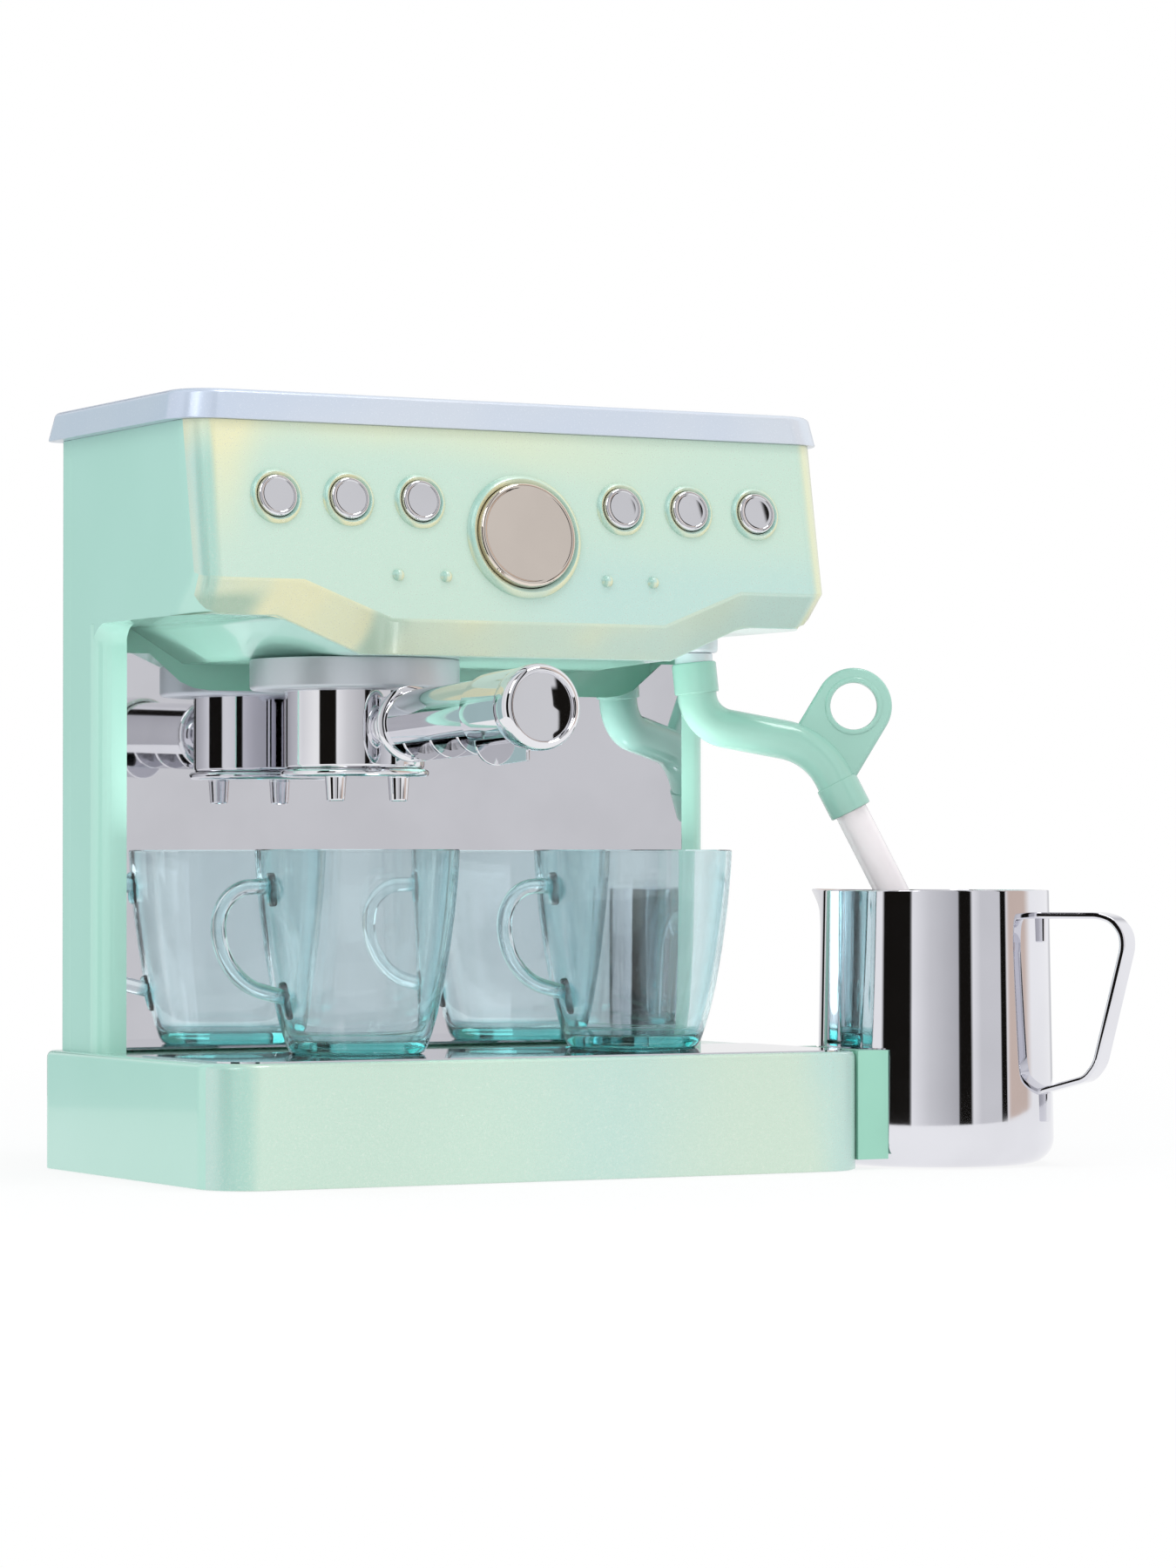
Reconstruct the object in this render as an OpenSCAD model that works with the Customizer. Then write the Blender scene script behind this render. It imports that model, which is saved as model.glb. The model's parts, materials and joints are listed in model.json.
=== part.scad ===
// Toy coffee maker with a tilted button panel, a portafilter over two clear cups,
// and a steam wand that dips into a pitcher. Millimetres, +Z up, front toward -Y.

/* [Base] */
// Width of the base
base_w = 217; // [212:1:230]
// Depth of the base
base_d = 132; // [132:1:136]
// Height of the base
base_h = 36; // [34:1:40]
// Radius of the base's front corners
base_corner = 16; // [14:1:18]
// Wall of the shells
wall = 2.4; // [2.2:0.1:2.6]

/* [Head] */
// Height of the open bay between base and head
bay_h = 128.5; // [126:0.5:140]
// Height of the head above the bay
head_h = 56.5; // [56:0.5:60]
// How far the body stands in from the base's sides
body_inset = 3.3; // [2.5:0.1:4]
// Tilt of the button panel from the vertical, in degrees
panel_tilt = 9.9; // [8.5:0.1:11]
// Depth of the belly below the head
belly_drop = 10.8; // [10:0.1:12]
// Width of one column seen from the front
column_w = 9.5; // [9:0.1:10.6]
// Height of the top tray
tray_h = 9; // [8:0.5:11]

/* [Buttons] */
// Diameter of a small button's cap
cap_d = 12.4; // [11.6:0.1:13]
// Spacing of the small buttons
cap_pitch = 23.2; // [22:0.1:24]
// Diameter of the brew button
brew_d = 31.7; // [30:0.1:32.5]
// Press depth of the small buttons
press = 1.5; // [1:0.1:1.6]

/* [Portafilter] */
// Diameter of the silver group ring
ring_d = 63; // [61:0.5:65]
// Outer diameter of the basket
basket_d = 42; // [41:0.1:43]
// Length of the handle from the group's axis to its end
handle_l = 121.5; // [112:0.5:125]

/* [Wand] */
// Diameter of the wand's pipe
pipe_d = 12.3; // [11.5:0.1:12.6]
// Outer diameter of the clear tube
tube_d = 10.2; // [9.8:0.1:10.4]

/* [Cups and pitcher] */
// Rim diameter of a cup
cup_d = 61; // [58:0.5:62]
// Height of a cup
cup_h = 60.4; // [56:0.2:61]
// Diameter of the pitcher near its bottom
pitcher_d = 72.6; // [71.6:0.2:73]
// Height of the pitcher
pitcher_h = 84.5; // [82:0.5:86]

/* [Hidden] */
$fn = 48;
rod_fn = 24;
slit = 0.05;
gap = 0.1;
eps = 0.02;
lt = 0.3;
mint = [0.66, 0.88, 0.79];
pearl = [0.78, 0.90, 0.82];
lilac = [0.79, 0.83, 0.90];
silver = [0.70, 0.71, 0.74];
steel = [0.80, 0.80, 0.82];
teal = [0.55, 0.80, 0.82, 0.45];
clear = [0.93, 0.93, 0.95, 0.40];
dark = [0.16, 0.17, 0.18];

// levels
wing_z = base_h + bay_h;
top_z = wing_z + head_h;
belly_z = wing_z - belly_drop;
chin_h = 9.9;
row_z = top_z - 22.1;
brew_z = top_z - 31.5;
dome_z = top_z - 44.1;

// plan
base_back_r = 6;
edge_r = 2;
body_w = base_w - 2 * body_inset;
back_y = base_d / 2 - 6.9;
cover_t = 8.3;
seam_y = back_y - cover_t;
column_y = back_y - 29.1;
panel_y = back_y - 97.6;
head_corner = 9;
column_corner = 6;
skin = wall;
chin_back = 10;
flare = 1.2;

function panel_at(z) = panel_y + tan(panel_tilt) * (z - top_z);
module on_panel(x, z) translate([x, panel_at(z), z]) rotate([90 - panel_tilt, 0, 0]) children();

// a thin rounded plate, used as one level of a hull
module level(w, y0, y1, rf, rb, z)
  for (s = [-1, 1]) {
    translate([s * (w / 2 - rf), y0 + rf, z]) cylinder(r = rf, h = lt, $fn = 40);
    translate([s * (w / 2 - rb), y1 - rb, z]) cylinder(r = rb, h = lt, $fn = 40);
  }

// a rounded outline with its own front and back corner radii
module plan(w, y0, y1, rf, rb) {
  translate([-w / 2, y0 + rf]) square([w, y1 - y0 - rf - rb]);
  translate([-w / 2 + rf, y0]) square([w - 2 * rf, rf + eps]);
  translate([-w / 2 + rb, y1 - rb - eps]) square([w - 2 * rb, rb + eps]);
  for (s = [-1, 1]) {
    translate([s * (w / 2 - rf), y0 + rf]) circle(r = rf);
    translate([s * (w / 2 - rb), y1 - rb]) circle(r = rb);
  }
}

// a block with rounded upright corners and a softened top edge
module soft_block(w, y0, y1, rf, rb, h, e) {
  function edge(r) = [[r, 0], [r, h - e], [r - e * 0.3, h - e * 0.3], [r - e, h]];
  function both(a, b) = concat([[a, h - e], [a, 0], [b, 0], [b, h - e], [b - e * 0.3, h - e * 0.3],
    [b - e, h], [a + e, h], [a + e * 0.3, h - e * 0.3]]);
  for (s = [0, 1]) mirror([s, 0, 0]) {
    translate([w / 2 - rf, y0 + rf, 0]) rotate([0, 0, -90]) rotate_extrude(angle = 90)
      polygon(concat([[0, h], [0, 0]], edge(rf)));
    translate([w / 2 - rb, y1 - rb, 0]) rotate_extrude(angle = 90) polygon(concat([[0, h], [0, 0]], edge(rb)));
  }
  translate([-w / 2 + rf, 0, 0]) rotate([90, 0, 90]) linear_extrude(w - 2 * rf) polygon(both(y0, y1));
  translate([0, y1 - rb, 0]) rotate([90, 0, 0]) linear_extrude(y1 - y0 - rf - rb)
    polygon(both(-w / 2, w / 2));
  translate([-w / 2 + rb, 0, 0]) rotate([90, 0, 90]) linear_extrude(w - 2 * rb)
    polygon([[y1 - rb, 0], [y1, 0], [y1, h - e], [y1 - e * 0.3, h - e * 0.3], [y1 - e, h], [y1 - rb, h]]);
}

// base
cover_plate_t = 2.4;
base_y = base_d / 2;
post_d = 7;
pilot_d = 2.5;
screw_d = 2.4;
head_d = 5;
clear_d = 3;
cover_posts = [for (x = [-1, 1]) for (y = [18 - base_y, base_y - 12]) [x * (base_w / 2 - 12.5), y]];
column_x = body_w / 2 - column_w / 2 - 1;
column_posts = [[-column_x, column_y + 10], [column_x, column_y + 10]];
sheet_t = 1;
sheet_sink = 0.6;
sheet_x = base_w / 2 - 5;
sheet_front = -base_y + 3;
sheet_back = column_y - 28;
sheet_z = base_h - sheet_sink + sheet_t;

// pitcher and cradle
pitcher_x = base_w / 2 + 1.6 + pitcher_d / 2;
pitcher_y = -40;
cradle_gap = 0.5;
cradle_half = 21;
cradle_lift = 3;
peg_d = 4;
peg_y = [-6, 6];

// battery bay, three cells side by side
cell_d = 14.2;
cell_l = 50;
bay_w = cell_l + 6;
bay_d = 3 * cell_d + 3;
bay_x = 62.5 - base_w / 2;
bay_y = 0;
bay_z = cell_d + 6.4;
bay_wall = 1.8;
door_t = 2;
door_gap = 0.3;
contact_t = 0.5;
door_screw_x = bay_x + bay_w / 2 + 7;

// switch and speaker
switch_x = base_w / 2 - 78.5;
switch_y = 26;
switch_l = 12;
switch_w = 6;
switch_travel = 3;
speaker_x = base_w / 2 - 46.5;
speaker_y = -14;
speaker_d = 40;
speaker_t = 12;

module base_shell() color(mint) difference() {
  soft_block(base_w, -base_y, base_y, base_corner, base_back_r, base_h, edge_r);
  difference() {
    translate([0, 0, -1]) linear_extrude(base_h - wall + 1)
      plan(base_w - 2 * wall, -base_y + wall, base_y - wall, base_corner - wall, base_back_r - wall);
    for (p = cover_posts) translate([p[0], p[1], cover_plate_t + gap])
      cylinder(d = post_d, h = base_h, $fn = rod_fn);
  }
  for (p = cover_posts) translate([p[0], p[1], -1]) cylinder(d = pilot_d, h = 20, $fn = rod_fn);
  for (p = column_posts) translate([p[0], p[1], base_h - 10]) cylinder(d = clear_d, h = 20, $fn = rod_fn);
  translate([0, 0, base_h - sheet_sink]) linear_extrude(sheet_t)
    plan(2 * sheet_x + gap, sheet_front - slit, sheet_back + slit, base_corner - 5, 2);
  for (y = peg_y) translate([base_w / 2 - wall - 2, pitcher_y + y, base_h / 2])
    rotate([0, 90, 0]) cylinder(d = peg_d + gap, h = wall + 4, $fn = rod_fn);
}

module base_cover() color(mint * 0.96) difference() {
  union() {
    linear_extrude(cover_plate_t)
      plan(base_w - 2 * wall - 2 * gap, -base_y + wall + gap, base_y - wall - gap,
        base_corner - wall - gap, base_back_r - wall - gap);
    translate([bay_x - bay_w / 2 - bay_wall, bay_y - bay_d / 2 - bay_wall, 0])
      cube([bay_w + 2 * bay_wall, bay_d + 2 * bay_wall, bay_z + bay_wall]);
    translate([door_screw_x, bay_y, 0]) cylinder(d = post_d + 3, h = 12, $fn = rod_fn);
    translate([speaker_x, speaker_y, 0]) cylinder(d = speaker_d + 2 * bay_wall, h = 9);
    translate([switch_x - switch_l / 2 - 5, switch_y - switch_w / 2 - 4, 0])
      cube([switch_l + 10, switch_w + 8, 9]);
  }
  translate([bay_x - bay_w / 2, bay_y - bay_d / 2, -1]) cube([bay_w, bay_d, bay_z + 1]);
  translate([bay_x - bay_w / 2 - 1, bay_y - bay_d / 2 - 1, -1])
    cube([bay_w + post_d + 8, bay_d + 2, door_t + door_gap + 1]);
  translate([door_screw_x, bay_y, -1]) cylinder(d = pilot_d, h = 10, $fn = rod_fn);
  translate([speaker_x, speaker_y, cover_plate_t]) cylinder(d = speaker_d + gap, h = 20);
  for (r = [0, 6, 12]) for (a = [0 : max(1, r)])
    if (a < max(1, r)) translate([speaker_x, speaker_y, -1]) rotate([0, 0, a * 360 / max(1, r)])
      translate([r, 0, 0]) cylinder(d = 2, h = 8, $fn = 16);
  translate([switch_x - switch_l / 2 - gap, switch_y - switch_w / 2 - gap, -1])
    cube([switch_l + 2 * gap, switch_w + 2 * gap, cover_plate_t + 2]);
  translate([switch_x - switch_l / 2 - 3, switch_y - switch_w / 2 - 2, cover_plate_t])
    cube([switch_l + 6, switch_w + 4, 20]);
  for (p = cover_posts) {
    translate([p[0], p[1], -1]) cylinder(d = clear_d, h = 20, $fn = rod_fn);
    translate([p[0], p[1], -1]) cylinder(d = head_d + 0.6, h = 1 + 1.6, $fn = rod_fn);
  }
}

// a pan-head screw standing on its head, its thread up
module screw(l, t = 1.4) difference() {
  union() {
    cylinder(d = head_d, h = t, $fn = rod_fn);
    cylinder(d = screw_d, h = l, $fn = rod_fn);
  }
  for (a = [0, 90]) rotate([0, 0, a]) translate([-1.5, -0.3, -eps]) cube([3, 0.6, 0.8]);
}

module base_screws() color(silver)
  for (p = cover_posts) translate([p[0], p[1], 0.15]) screw(14);

module column_screws() color(silver)
  for (p = column_posts) translate([p[0], p[1], base_h - wall - 1.4]) screw(12);

module battery_door() color(mint * 0.96) difference() {
  translate([bay_x - bay_w / 2 - 1 + door_gap, bay_y - bay_d / 2 - 1 + door_gap, 0.2])
    cube([bay_w + post_d + 8 - 2 * door_gap, bay_d + 2 - 2 * door_gap, door_t]);
  translate([door_screw_x, bay_y, -1]) cylinder(d = clear_d, h = 6, $fn = rod_fn);
  translate([door_screw_x, bay_y, -1]) cylinder(d = head_d + 0.4, h = 2, $fn = rod_fn);
  translate([bay_x - bay_w / 2 + 3, bay_y, -0.5]) cylinder(d = 14, h = 1.4, $fn = rod_fn);
}

module door_screw() color(silver) translate([door_screw_x, bay_y, 0.25]) screw(8, 0.7);

module cells() color(steel)
  for (i = [-1, 0, 1]) translate([bay_x - cell_l / 2, bay_y + i * (cell_d + 0.6), bay_z - cell_d / 2 - 1])
    rotate([0, 90, 0]) {
      cylinder(d = cell_d, h = cell_l - 1.5);
      cylinder(d = 5.5, h = cell_l, $fn = rod_fn);
    }

module cell_contacts() color(silver)
  for (s = [-1, 1]) for (i = [-1, 0, 1])
    translate([bay_x + s * (cell_l / 2 + 2.7) - contact_t / 2, bay_y + i * (cell_d + 0.6) - 5, bay_z - 13])
      cube([contact_t, 10, 11]);

module power_switch() color(dark) {
  translate([switch_x - switch_l / 2, switch_y - switch_w / 2 + 0.4, 0.3])
    cube([switch_l - switch_travel, switch_w - 0.8, cover_plate_t + 0.4]);
  translate([switch_x - switch_l / 2 - 2, switch_y - switch_w / 2 - 1, cover_plate_t + 0.2])
    cube([switch_l - switch_travel + 3.5, switch_w + 2, 2]);
}

module switch_body() color(silver)
  translate([switch_x - switch_l / 2 - 3 + gap, switch_y - switch_w / 2 - 2 + gap, cover_plate_t + 2.4])
    cube([switch_l + 6 - 2 * gap, switch_w + 4 - 2 * gap, 4.6]);

module speaker() color(dark) translate([speaker_x, speaker_y, cover_plate_t + gap]) {
  difference() {
    cylinder(d = speaker_d, h = 4.5);
    translate([0, 0, -1]) cylinder(d1 = speaker_d - 4, d2 = 20, h = 5.2);
  }
  translate([0, 0, 4]) cylinder(d = 22, h = speaker_t - 4);
}

module drip_sheet() color(steel) translate([0, 0, base_h - sheet_sink]) linear_extrude(sheet_t)
  plan(2 * sheet_x, sheet_front, sheet_back, base_corner - 5, 2);

module pitcher_cradle() color(mint) {
  difference() {
    translate([base_w / 2 - base_corner, pitcher_y - cradle_half, cradle_lift])
      cube([base_corner + 12, 2 * cradle_half, base_h - cradle_lift]);
    translate([0, 0, -1]) linear_extrude(base_h + 2)
      plan(base_w + 2 * slit, -base_y - slit, base_y + slit, base_corner, base_back_r);
    translate([pitcher_x, pitcher_y, -1]) cylinder(d = pitcher_d + 2 * cradle_gap, h = base_h + 2, $fn = 96);
    for (s = [-1, 1]) translate([base_w / 2 + 12, pitcher_y + s * cradle_half, -1])
      rotate([0, 0, s * 45]) translate([-2, -2, 0]) cube([4, 4, base_h + 2]);
  }
  for (y = peg_y) translate([base_w / 2 - wall - 1, pitcher_y + y, base_h / 2])
    rotate([0, 90, 0]) cylinder(d = peg_d, h = wall + 1.6, $fn = rod_fn);
}

// head, columns and back wall
rebate = 1.2;
mirror_t = 1;
mirror_side = body_w / 2 - column_w;
head_back = column_y - 2;
mirror_low = base_h + 0.8;
mirror_drop = 8.6;
belly_front = [body_w / 2 - 27.2, body_w / 2 - 53.2];
belly_rear = [body_w / 2 - 19.2, body_w / 2 - 37.2];
chin_top = [body_w / 2 - 32.2, body_w / 2 - 59.7];
fillet_r = 7;
nut_d = 15;
wand_x = body_w / 2 - 19.4;
wand_y = 5;
group_x = -36;
group_y = -3.4;
boss_d = 7.5;
back_screws = [for (z = [base_h + 24, top_z - 16]) for (x = [-1, 1]) [x * (body_w / 2 - 9.2), z]];
board_posts = [-44.5, 44.5];
board_holes = [-15, 9];
board_side = 13.2;
board_low = 22;
board_h = 38;

// two front corners of the head and its square back corners, one level of a hull
module head_level(w, wb, y0, r, back, z) for (s = [-1, 1]) {
  translate([s * (w / 2 - r), y0 + r, z]) cylinder(r = r, h = lt, $fn = 40);
  translate([s * wb / 2 - (s > 0 ? 1 : 0), back - 1, z]) cube([1, 1, lt]);
}

// outer skin of the head in front of the back box, grown by g (negative for the inside)
module head_body(g) hull() {
  back = head_back + (g < 0 ? 1 : 0);
  wb = body_w + 2 * g;
  r = head_corner + g;
  head_level(wb, wb, panel_at(top_z) - g, r, back, top_z - lt);
  head_level(wb + 2 * flare, wb, panel_at(wing_z + chin_h) - g, r, back, wing_z + chin_h - g * 0.5);
  head_level(wb - 1, wb, panel_at(wing_z) + chin_back - g, r, back, wing_z - g);
}

// a small block at one corner of the belly
module peg_at(x, y, z) translate([x - (x > 0 ? 0.5 : 0), y, z]) cube(0.5);

module belly_body(g) hull() for (s = [-1, 1]) {
  peg_at(s * (chin_top[0] + g), panel_at(wing_z + chin_h) + 0.3 - g, wing_z + chin_h - g * 0.5);
  peg_at(s * (chin_top[1] + g), panel_at(belly_z + chin_h) - g, belly_z + chin_h - g * 0.5);
  peg_at(s * (belly_front[0] + g), panel_at(wing_z) + chin_back + 0.4 - g, wing_z + 0.3 - g);
  peg_at(s * (belly_front[1] + g), panel_at(belly_z) + chin_back - g, belly_z - g);
  peg_at(s * (belly_rear[0] + g), column_y + rebate, wing_z + 0.3 - g);
  peg_at(s * (belly_rear[1] + g), column_y + rebate, belly_z - g);
  peg_at(s * (chin_top[1] + g), panel_at(wing_z + 20) + 8, wing_z + 20);
}

// raised ring round a button, with a softened edge
module bezel(d, w, h) rotate_extrude() polygon([
  [d / 2 - 1, -1], [d / 2 + w, -1], [d / 2 + w, h * 0.35], [d / 2 + w - h * 0.3, h * 0.8],
  [d / 2 + w - h * 0.8, h], [d / 2 + h * 0.5, h], [d / 2 - eps, h * 0.5], [d / 2 - 1, h * 0.5]]);

cap_x = [for (i = [0 : 2]) 33.7 + i * cap_pitch];
button_x = [-cap_x[2], -cap_x[1], -cap_x[0], cap_x[0], cap_x[1], cap_x[2]];
bore_gap = 0.1;
ring_w = 1.9;
ring_h = 1.3;
brew_ring_w = 2.9;
brew_ring_h = 2;
dome_in = 11.05;
dome_out = 26.75;
dome_step = [brew_d / 2 + dome_in, brew_d / 2 + dome_out];
dome_x = [-dome_step[1], -dome_step[0], dome_step[0], dome_step[1]];

module front_shell() color(mint) difference() {
  union() {
    difference() {
      union() {
        head_body(0);
        belly_body(0);
      }
      head_body(-skin);
      belly_body(-skin);
    }
    // back box with the columns as its front corners
    difference() {
      union() {
        translate([0, 0, base_h]) linear_extrude(wing_z - base_h + 1)
          plan(body_w, column_y, seam_y, column_corner, 0.5);
        translate([-body_w / 2, head_back, wing_z]) cube([body_w, seam_y - head_back, top_z - wing_z]);
      }
      translate([-body_w / 2 + skin, column_y + rebate + skin, base_h + skin])
        cube([body_w - 2 * skin, seam_y, top_z]);
      translate([-mirror_side - slit, column_y - 1, 0]) cube([2 * mirror_side + 2 * slit, rebate + 1, wing_z]);
      translate([-body_w / 2 + skin, head_back - 1, wing_z + skin])
        cube([body_w - 2 * skin, 20, head_h]);
    }
    // wall strip above the mirror follows the belly
    translate([0, column_y + rebate + eps, 0]) rotate([90, 0, 0]) linear_extrude(rebate)
      difference() {
        translate([-mirror_side - 1, belly_z - 12]) square([2 * mirror_side + 2, wing_z - belly_z + 14]);
        mirror_outline(slit);
      }
    // coves where the columns meet the head
    for (s = [-1, 1]) translate([s * (body_w / 2 - column_w / 2 - 0.6) - column_w / 2 + 0.9, column_y, wing_z])
      rotate([90, 0, 90]) linear_extrude(column_w - 1.8) difference() {
        translate([-fillet_r, -fillet_r]) square([fillet_r + 2.6, fillet_r + 0.5]);
        translate([-fillet_r, -fillet_r]) circle(r = fillet_r);
      }
    for (x = button_x) on_panel(x, row_z) bezel(cap_d, ring_w, ring_h);
    on_panel(0, brew_z) bezel(brew_d, brew_ring_w, brew_ring_h);
    for (x = dome_x) on_panel(x, dome_z) translate([0, 0, -0.6]) intersection() {
      sphere(d = 3.8, $fn = rod_fn);
      translate([0, 0, 2.3]) cube([6, 6, 4], center = true);
    }
    for (x = board_posts) for (y = board_holes) on_panel(x, row_z) translate([0, y, -11.9])
      cylinder(d = 5, h = 11.9 - skin + 0.5, $fn = rod_fn);
    for (p = back_screws) {
      translate([p[0], seam_y, p[1]]) rotate([90, 0, 0])
        cylinder(d = boss_d, h = seam_y - column_y - rebate - 0.5, $fn = rod_fn);
      translate([p[0] > 0 ? p[0] : -body_w / 2 + 1, column_y + rebate + 0.5, p[1] - 1])
        cube([body_w / 2 - 1 - abs(p[0]), seam_y - column_y - rebate - 1, 2]);
    }
    for (p = column_posts) translate([p[0], p[1], base_h]) cylinder(d = post_d, h = 12, $fn = rod_fn);
    translate([wand_x, wand_y, wing_z]) cylinder(d = nut_d, h = 12);
    translate([group_x, group_y, belly_z]) cylinder(d = 50, h = 4);
  }
  for (x = button_x) on_panel(x, row_z) translate([0, 0, -6]) cylinder(d = cap_d + 2 * bore_gap, h = 12);
  on_panel(0, brew_z) translate([0, 0, -6]) cylinder(d = brew_d + 2 * bore_gap, h = 12, $fn = 72);
  for (x = board_posts) for (y = board_holes) on_panel(x, row_z) translate([0, y, -13])
    cylinder(d = 2, h = 8, $fn = 16);
  for (p = back_screws) translate([p[0], seam_y + 1, p[1]]) rotate([90, 0, 0])
    cylinder(d = pilot_d, h = 14, $fn = rod_fn);
  for (p = column_posts) translate([p[0], p[1], base_h - 1]) cylinder(d = pilot_d, h = 11, $fn = rod_fn);
  translate([wand_x, wand_y, wing_z - 8]) cylinder(d = nut_d + 4 * gap, h = 8);
  translate([wand_x, wand_y, wing_z - 1]) cylinder(d = nut_stem_d + 0.1, h = 9);
  translate([group_x, group_y, belly_z - 1]) cylinder(d = 30, h = 12);
}

// mirror sheet, its top edge runs below the belly
module mirror_outline(g) {
  t = belly_z - mirror_drop;
  polygon([
    [-mirror_side - g, mirror_low - g], [mirror_side + g, mirror_low - g],
    [mirror_side + g, wing_z - mirror_drop + g], [mirror_side - 7.4, wing_z - mirror_drop + g],
    [mirror_side - 14.4, t + 5 + g], [mirror_side - 17.6, t + 2.4 + g], [mirror_side - 21.9, t + 0.7 + g],
    [mirror_side - 27.4, t + g], [27.4 - mirror_side, t + g], [21.9 - mirror_side, t + 0.7 + g],
    [17.6 - mirror_side, t + 2.4 + g], [14.4 - mirror_side, t + 5 + g],
    [7.4 - mirror_side, wing_z - mirror_drop + g], [-mirror_side - g, wing_z - mirror_drop + g]]);
}

module mirror_panel() color(steel) translate([0, column_y + rebate - slit, 0]) rotate([90, 0, 0])
  linear_extrude(mirror_t) mirror_outline(0);

module rear_cover() color(mint) difference() {
  union() {
    difference() {
      translate([0, 0, base_h + eps]) linear_extrude(top_z - base_h - 2 * eps)
        plan(body_w, seam_y, back_y, 0.5, 2.6);
      translate([0, 0, base_h + skin]) linear_extrude(top_z - base_h - 2 * skin)
        plan(body_w - 2 * skin, seam_y - 1, back_y - skin, 0.5, 1.2);
    }
    for (p = back_screws) translate([p[0], back_y - 1, p[1]]) rotate([90, 0, 0])
      cylinder(d = boss_d, h = cover_t - 1 - gap, $fn = rod_fn);
  }
  for (p = back_screws) {
    translate([p[0], back_y + 1, p[1]]) rotate([90, 0, 0]) cylinder(d = clear_d, h = 20, $fn = rod_fn);
  }
}

module rear_screws() color(silver)
  for (p = back_screws) translate([p[0], back_y + 1.4, p[1]]) rotate([90, 0, 0]) screw(19);

// top tray
tray_over = 3.7;
tray_back = 4.1;
tray_rim = 4;
tray_floor = 2.4;
tray_corner = head_corner + 4.5;
module top_tray() color(lilac) difference() {
  hull() {
    level(body_w + 2 * tray_over, panel_y - 1.6, back_y + tray_back, tray_corner, 4, top_z + slit);
    level(body_w + 2 * tray_over, panel_y - 1.6, back_y + tray_back, tray_corner, 4, top_z + 1.4);
    level(body_w + 2 * tray_over - 2, panel_y - 0.6, back_y + tray_back - 1, tray_corner - 1, 3,
      top_z + tray_h - 1.3);
    level(body_w + 2 * tray_over - 4, panel_y + 0.4, back_y + tray_back - 2, tray_corner - 2, 2,
      top_z + tray_h - lt);
  }
  hull() {
    level(body_w - 2 * tray_rim, panel_y + tray_rim + 2, back_y + tray_back - tray_rim - 2, tray_corner - 5, 2,
      top_z + tray_floor);
    level(body_w - 2 * tray_rim + 2, panel_y + tray_rim + 1, back_y + tray_back - tray_rim - 1, tray_corner - 4,
      2, top_z + tray_h + 0.5);
  }
}

// buttons, local +Z points out of the panel
module cap_shape(d, out, deep) {
  rotate_extrude() polygon([[0, -deep], [d / 2, -deep], [d / 2, out - 0.9], [d / 2 - 0.3, out - 0.3],
    [d / 2 - 1, out], [d / 2 - 1.5, out - 0.25], [0, out - 0.25]]);
}
cap_out = 2.1;
flange_z = skin + 0.25;
module button_at(x) color(steel) on_panel(x, row_z) {
  cap_shape(cap_d, cap_out, flange_z + 1);
  translate([0, 0, -flange_z - 1.2]) cylinder(d = cap_d + 2.4, h = 1.2);
  translate([0, 0, -pad_z + 0.2 + press]) cylinder(d = 5, h = pad_z - press - flange_z, $fn = rod_fn);
}
module button_1() button_at(button_x[0]);
module button_2() button_at(button_x[1]);
module button_3() button_at(button_x[2]);
module button_4() button_at(button_x[3]);
module button_5() button_at(button_x[4]);
module button_6() button_at(button_x[5]);

brew_out = 3.6;
module brew_button() color(steel) on_panel(0, brew_z) {
  rotate_extrude($fn = 72) polygon([[0, -flange_z - 1], [brew_d / 2, -flange_z - 1],
    [brew_d / 2, brew_out - 1.4], [brew_d / 2 - 0.5, brew_out - 0.5], [brew_d / 2 - 1.5, brew_out],
    [brew_d / 2 - 2, brew_out - 0.3], [0, brew_out - 0.3]]);
  translate([0, 0, -flange_z - 1.2]) cylinder(d = brew_d + 3, h = 1.2);
  translate([0, 0, -pad_z + 0.2 + press]) cylinder(d = 8, h = pad_z - press - flange_z, $fn = rod_fn);
}

// rubber pad and board behind the panel
pad_z = 9;
pad_t = 1;
board_t = 1.6;
module board_outline(g) translate([board_side - body_w / 2 + g, g - board_low])
  square([body_w - 2 * board_side - 2 * g, board_h - 2 * g]);
pad_hole_d = 5.4;
board_hole_d = 2.4;
hole_h = 20;
module key_pad() color(dark) on_panel(0, row_z) difference() {
  union() {
    translate([0, 0, -pad_z - pad_t - 1.9]) linear_extrude(pad_t) board_outline(1);
    for (x = button_x) translate([x, 0, -pad_z - 1.9]) cylinder(d1 = 9, d2 = 5, h = 1.9, $fn = rod_fn);
    translate([0, -(row_z - brew_z) / cos(panel_tilt), -pad_z - 1.9]) cylinder(d1 = 14, d2 = 8, h = 1.9);
  }
  for (x = board_posts) for (y = board_holes) translate([x, y, -hole_h])
    cylinder(d = pad_hole_d, h = hole_h, $fn = rod_fn);
}
module circuit_board() color([0.1, 0.4, 0.25]) on_panel(0, row_z) difference() {
  translate([0, 0, -pad_z - pad_t - 1.9 - board_t - slit]) linear_extrude(board_t) board_outline(0);
  for (x = board_posts) for (y = board_holes) translate([x, y, -hole_h])
    cylinder(d = board_hole_d, h = hole_h, $fn = 16);
}
module board_screws() color(silver)
  for (x = board_posts) for (y = board_holes) on_panel(x, row_z)
    translate([0, y, -pad_z - pad_t - 1.9 - board_t - 2 * slit - 1.2]) {
      cylinder(d = 4, h = 1.2, $fn = rod_fn);
      cylinder(d = 1.9, h = 7, $fn = rod_fn);
    }

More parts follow.
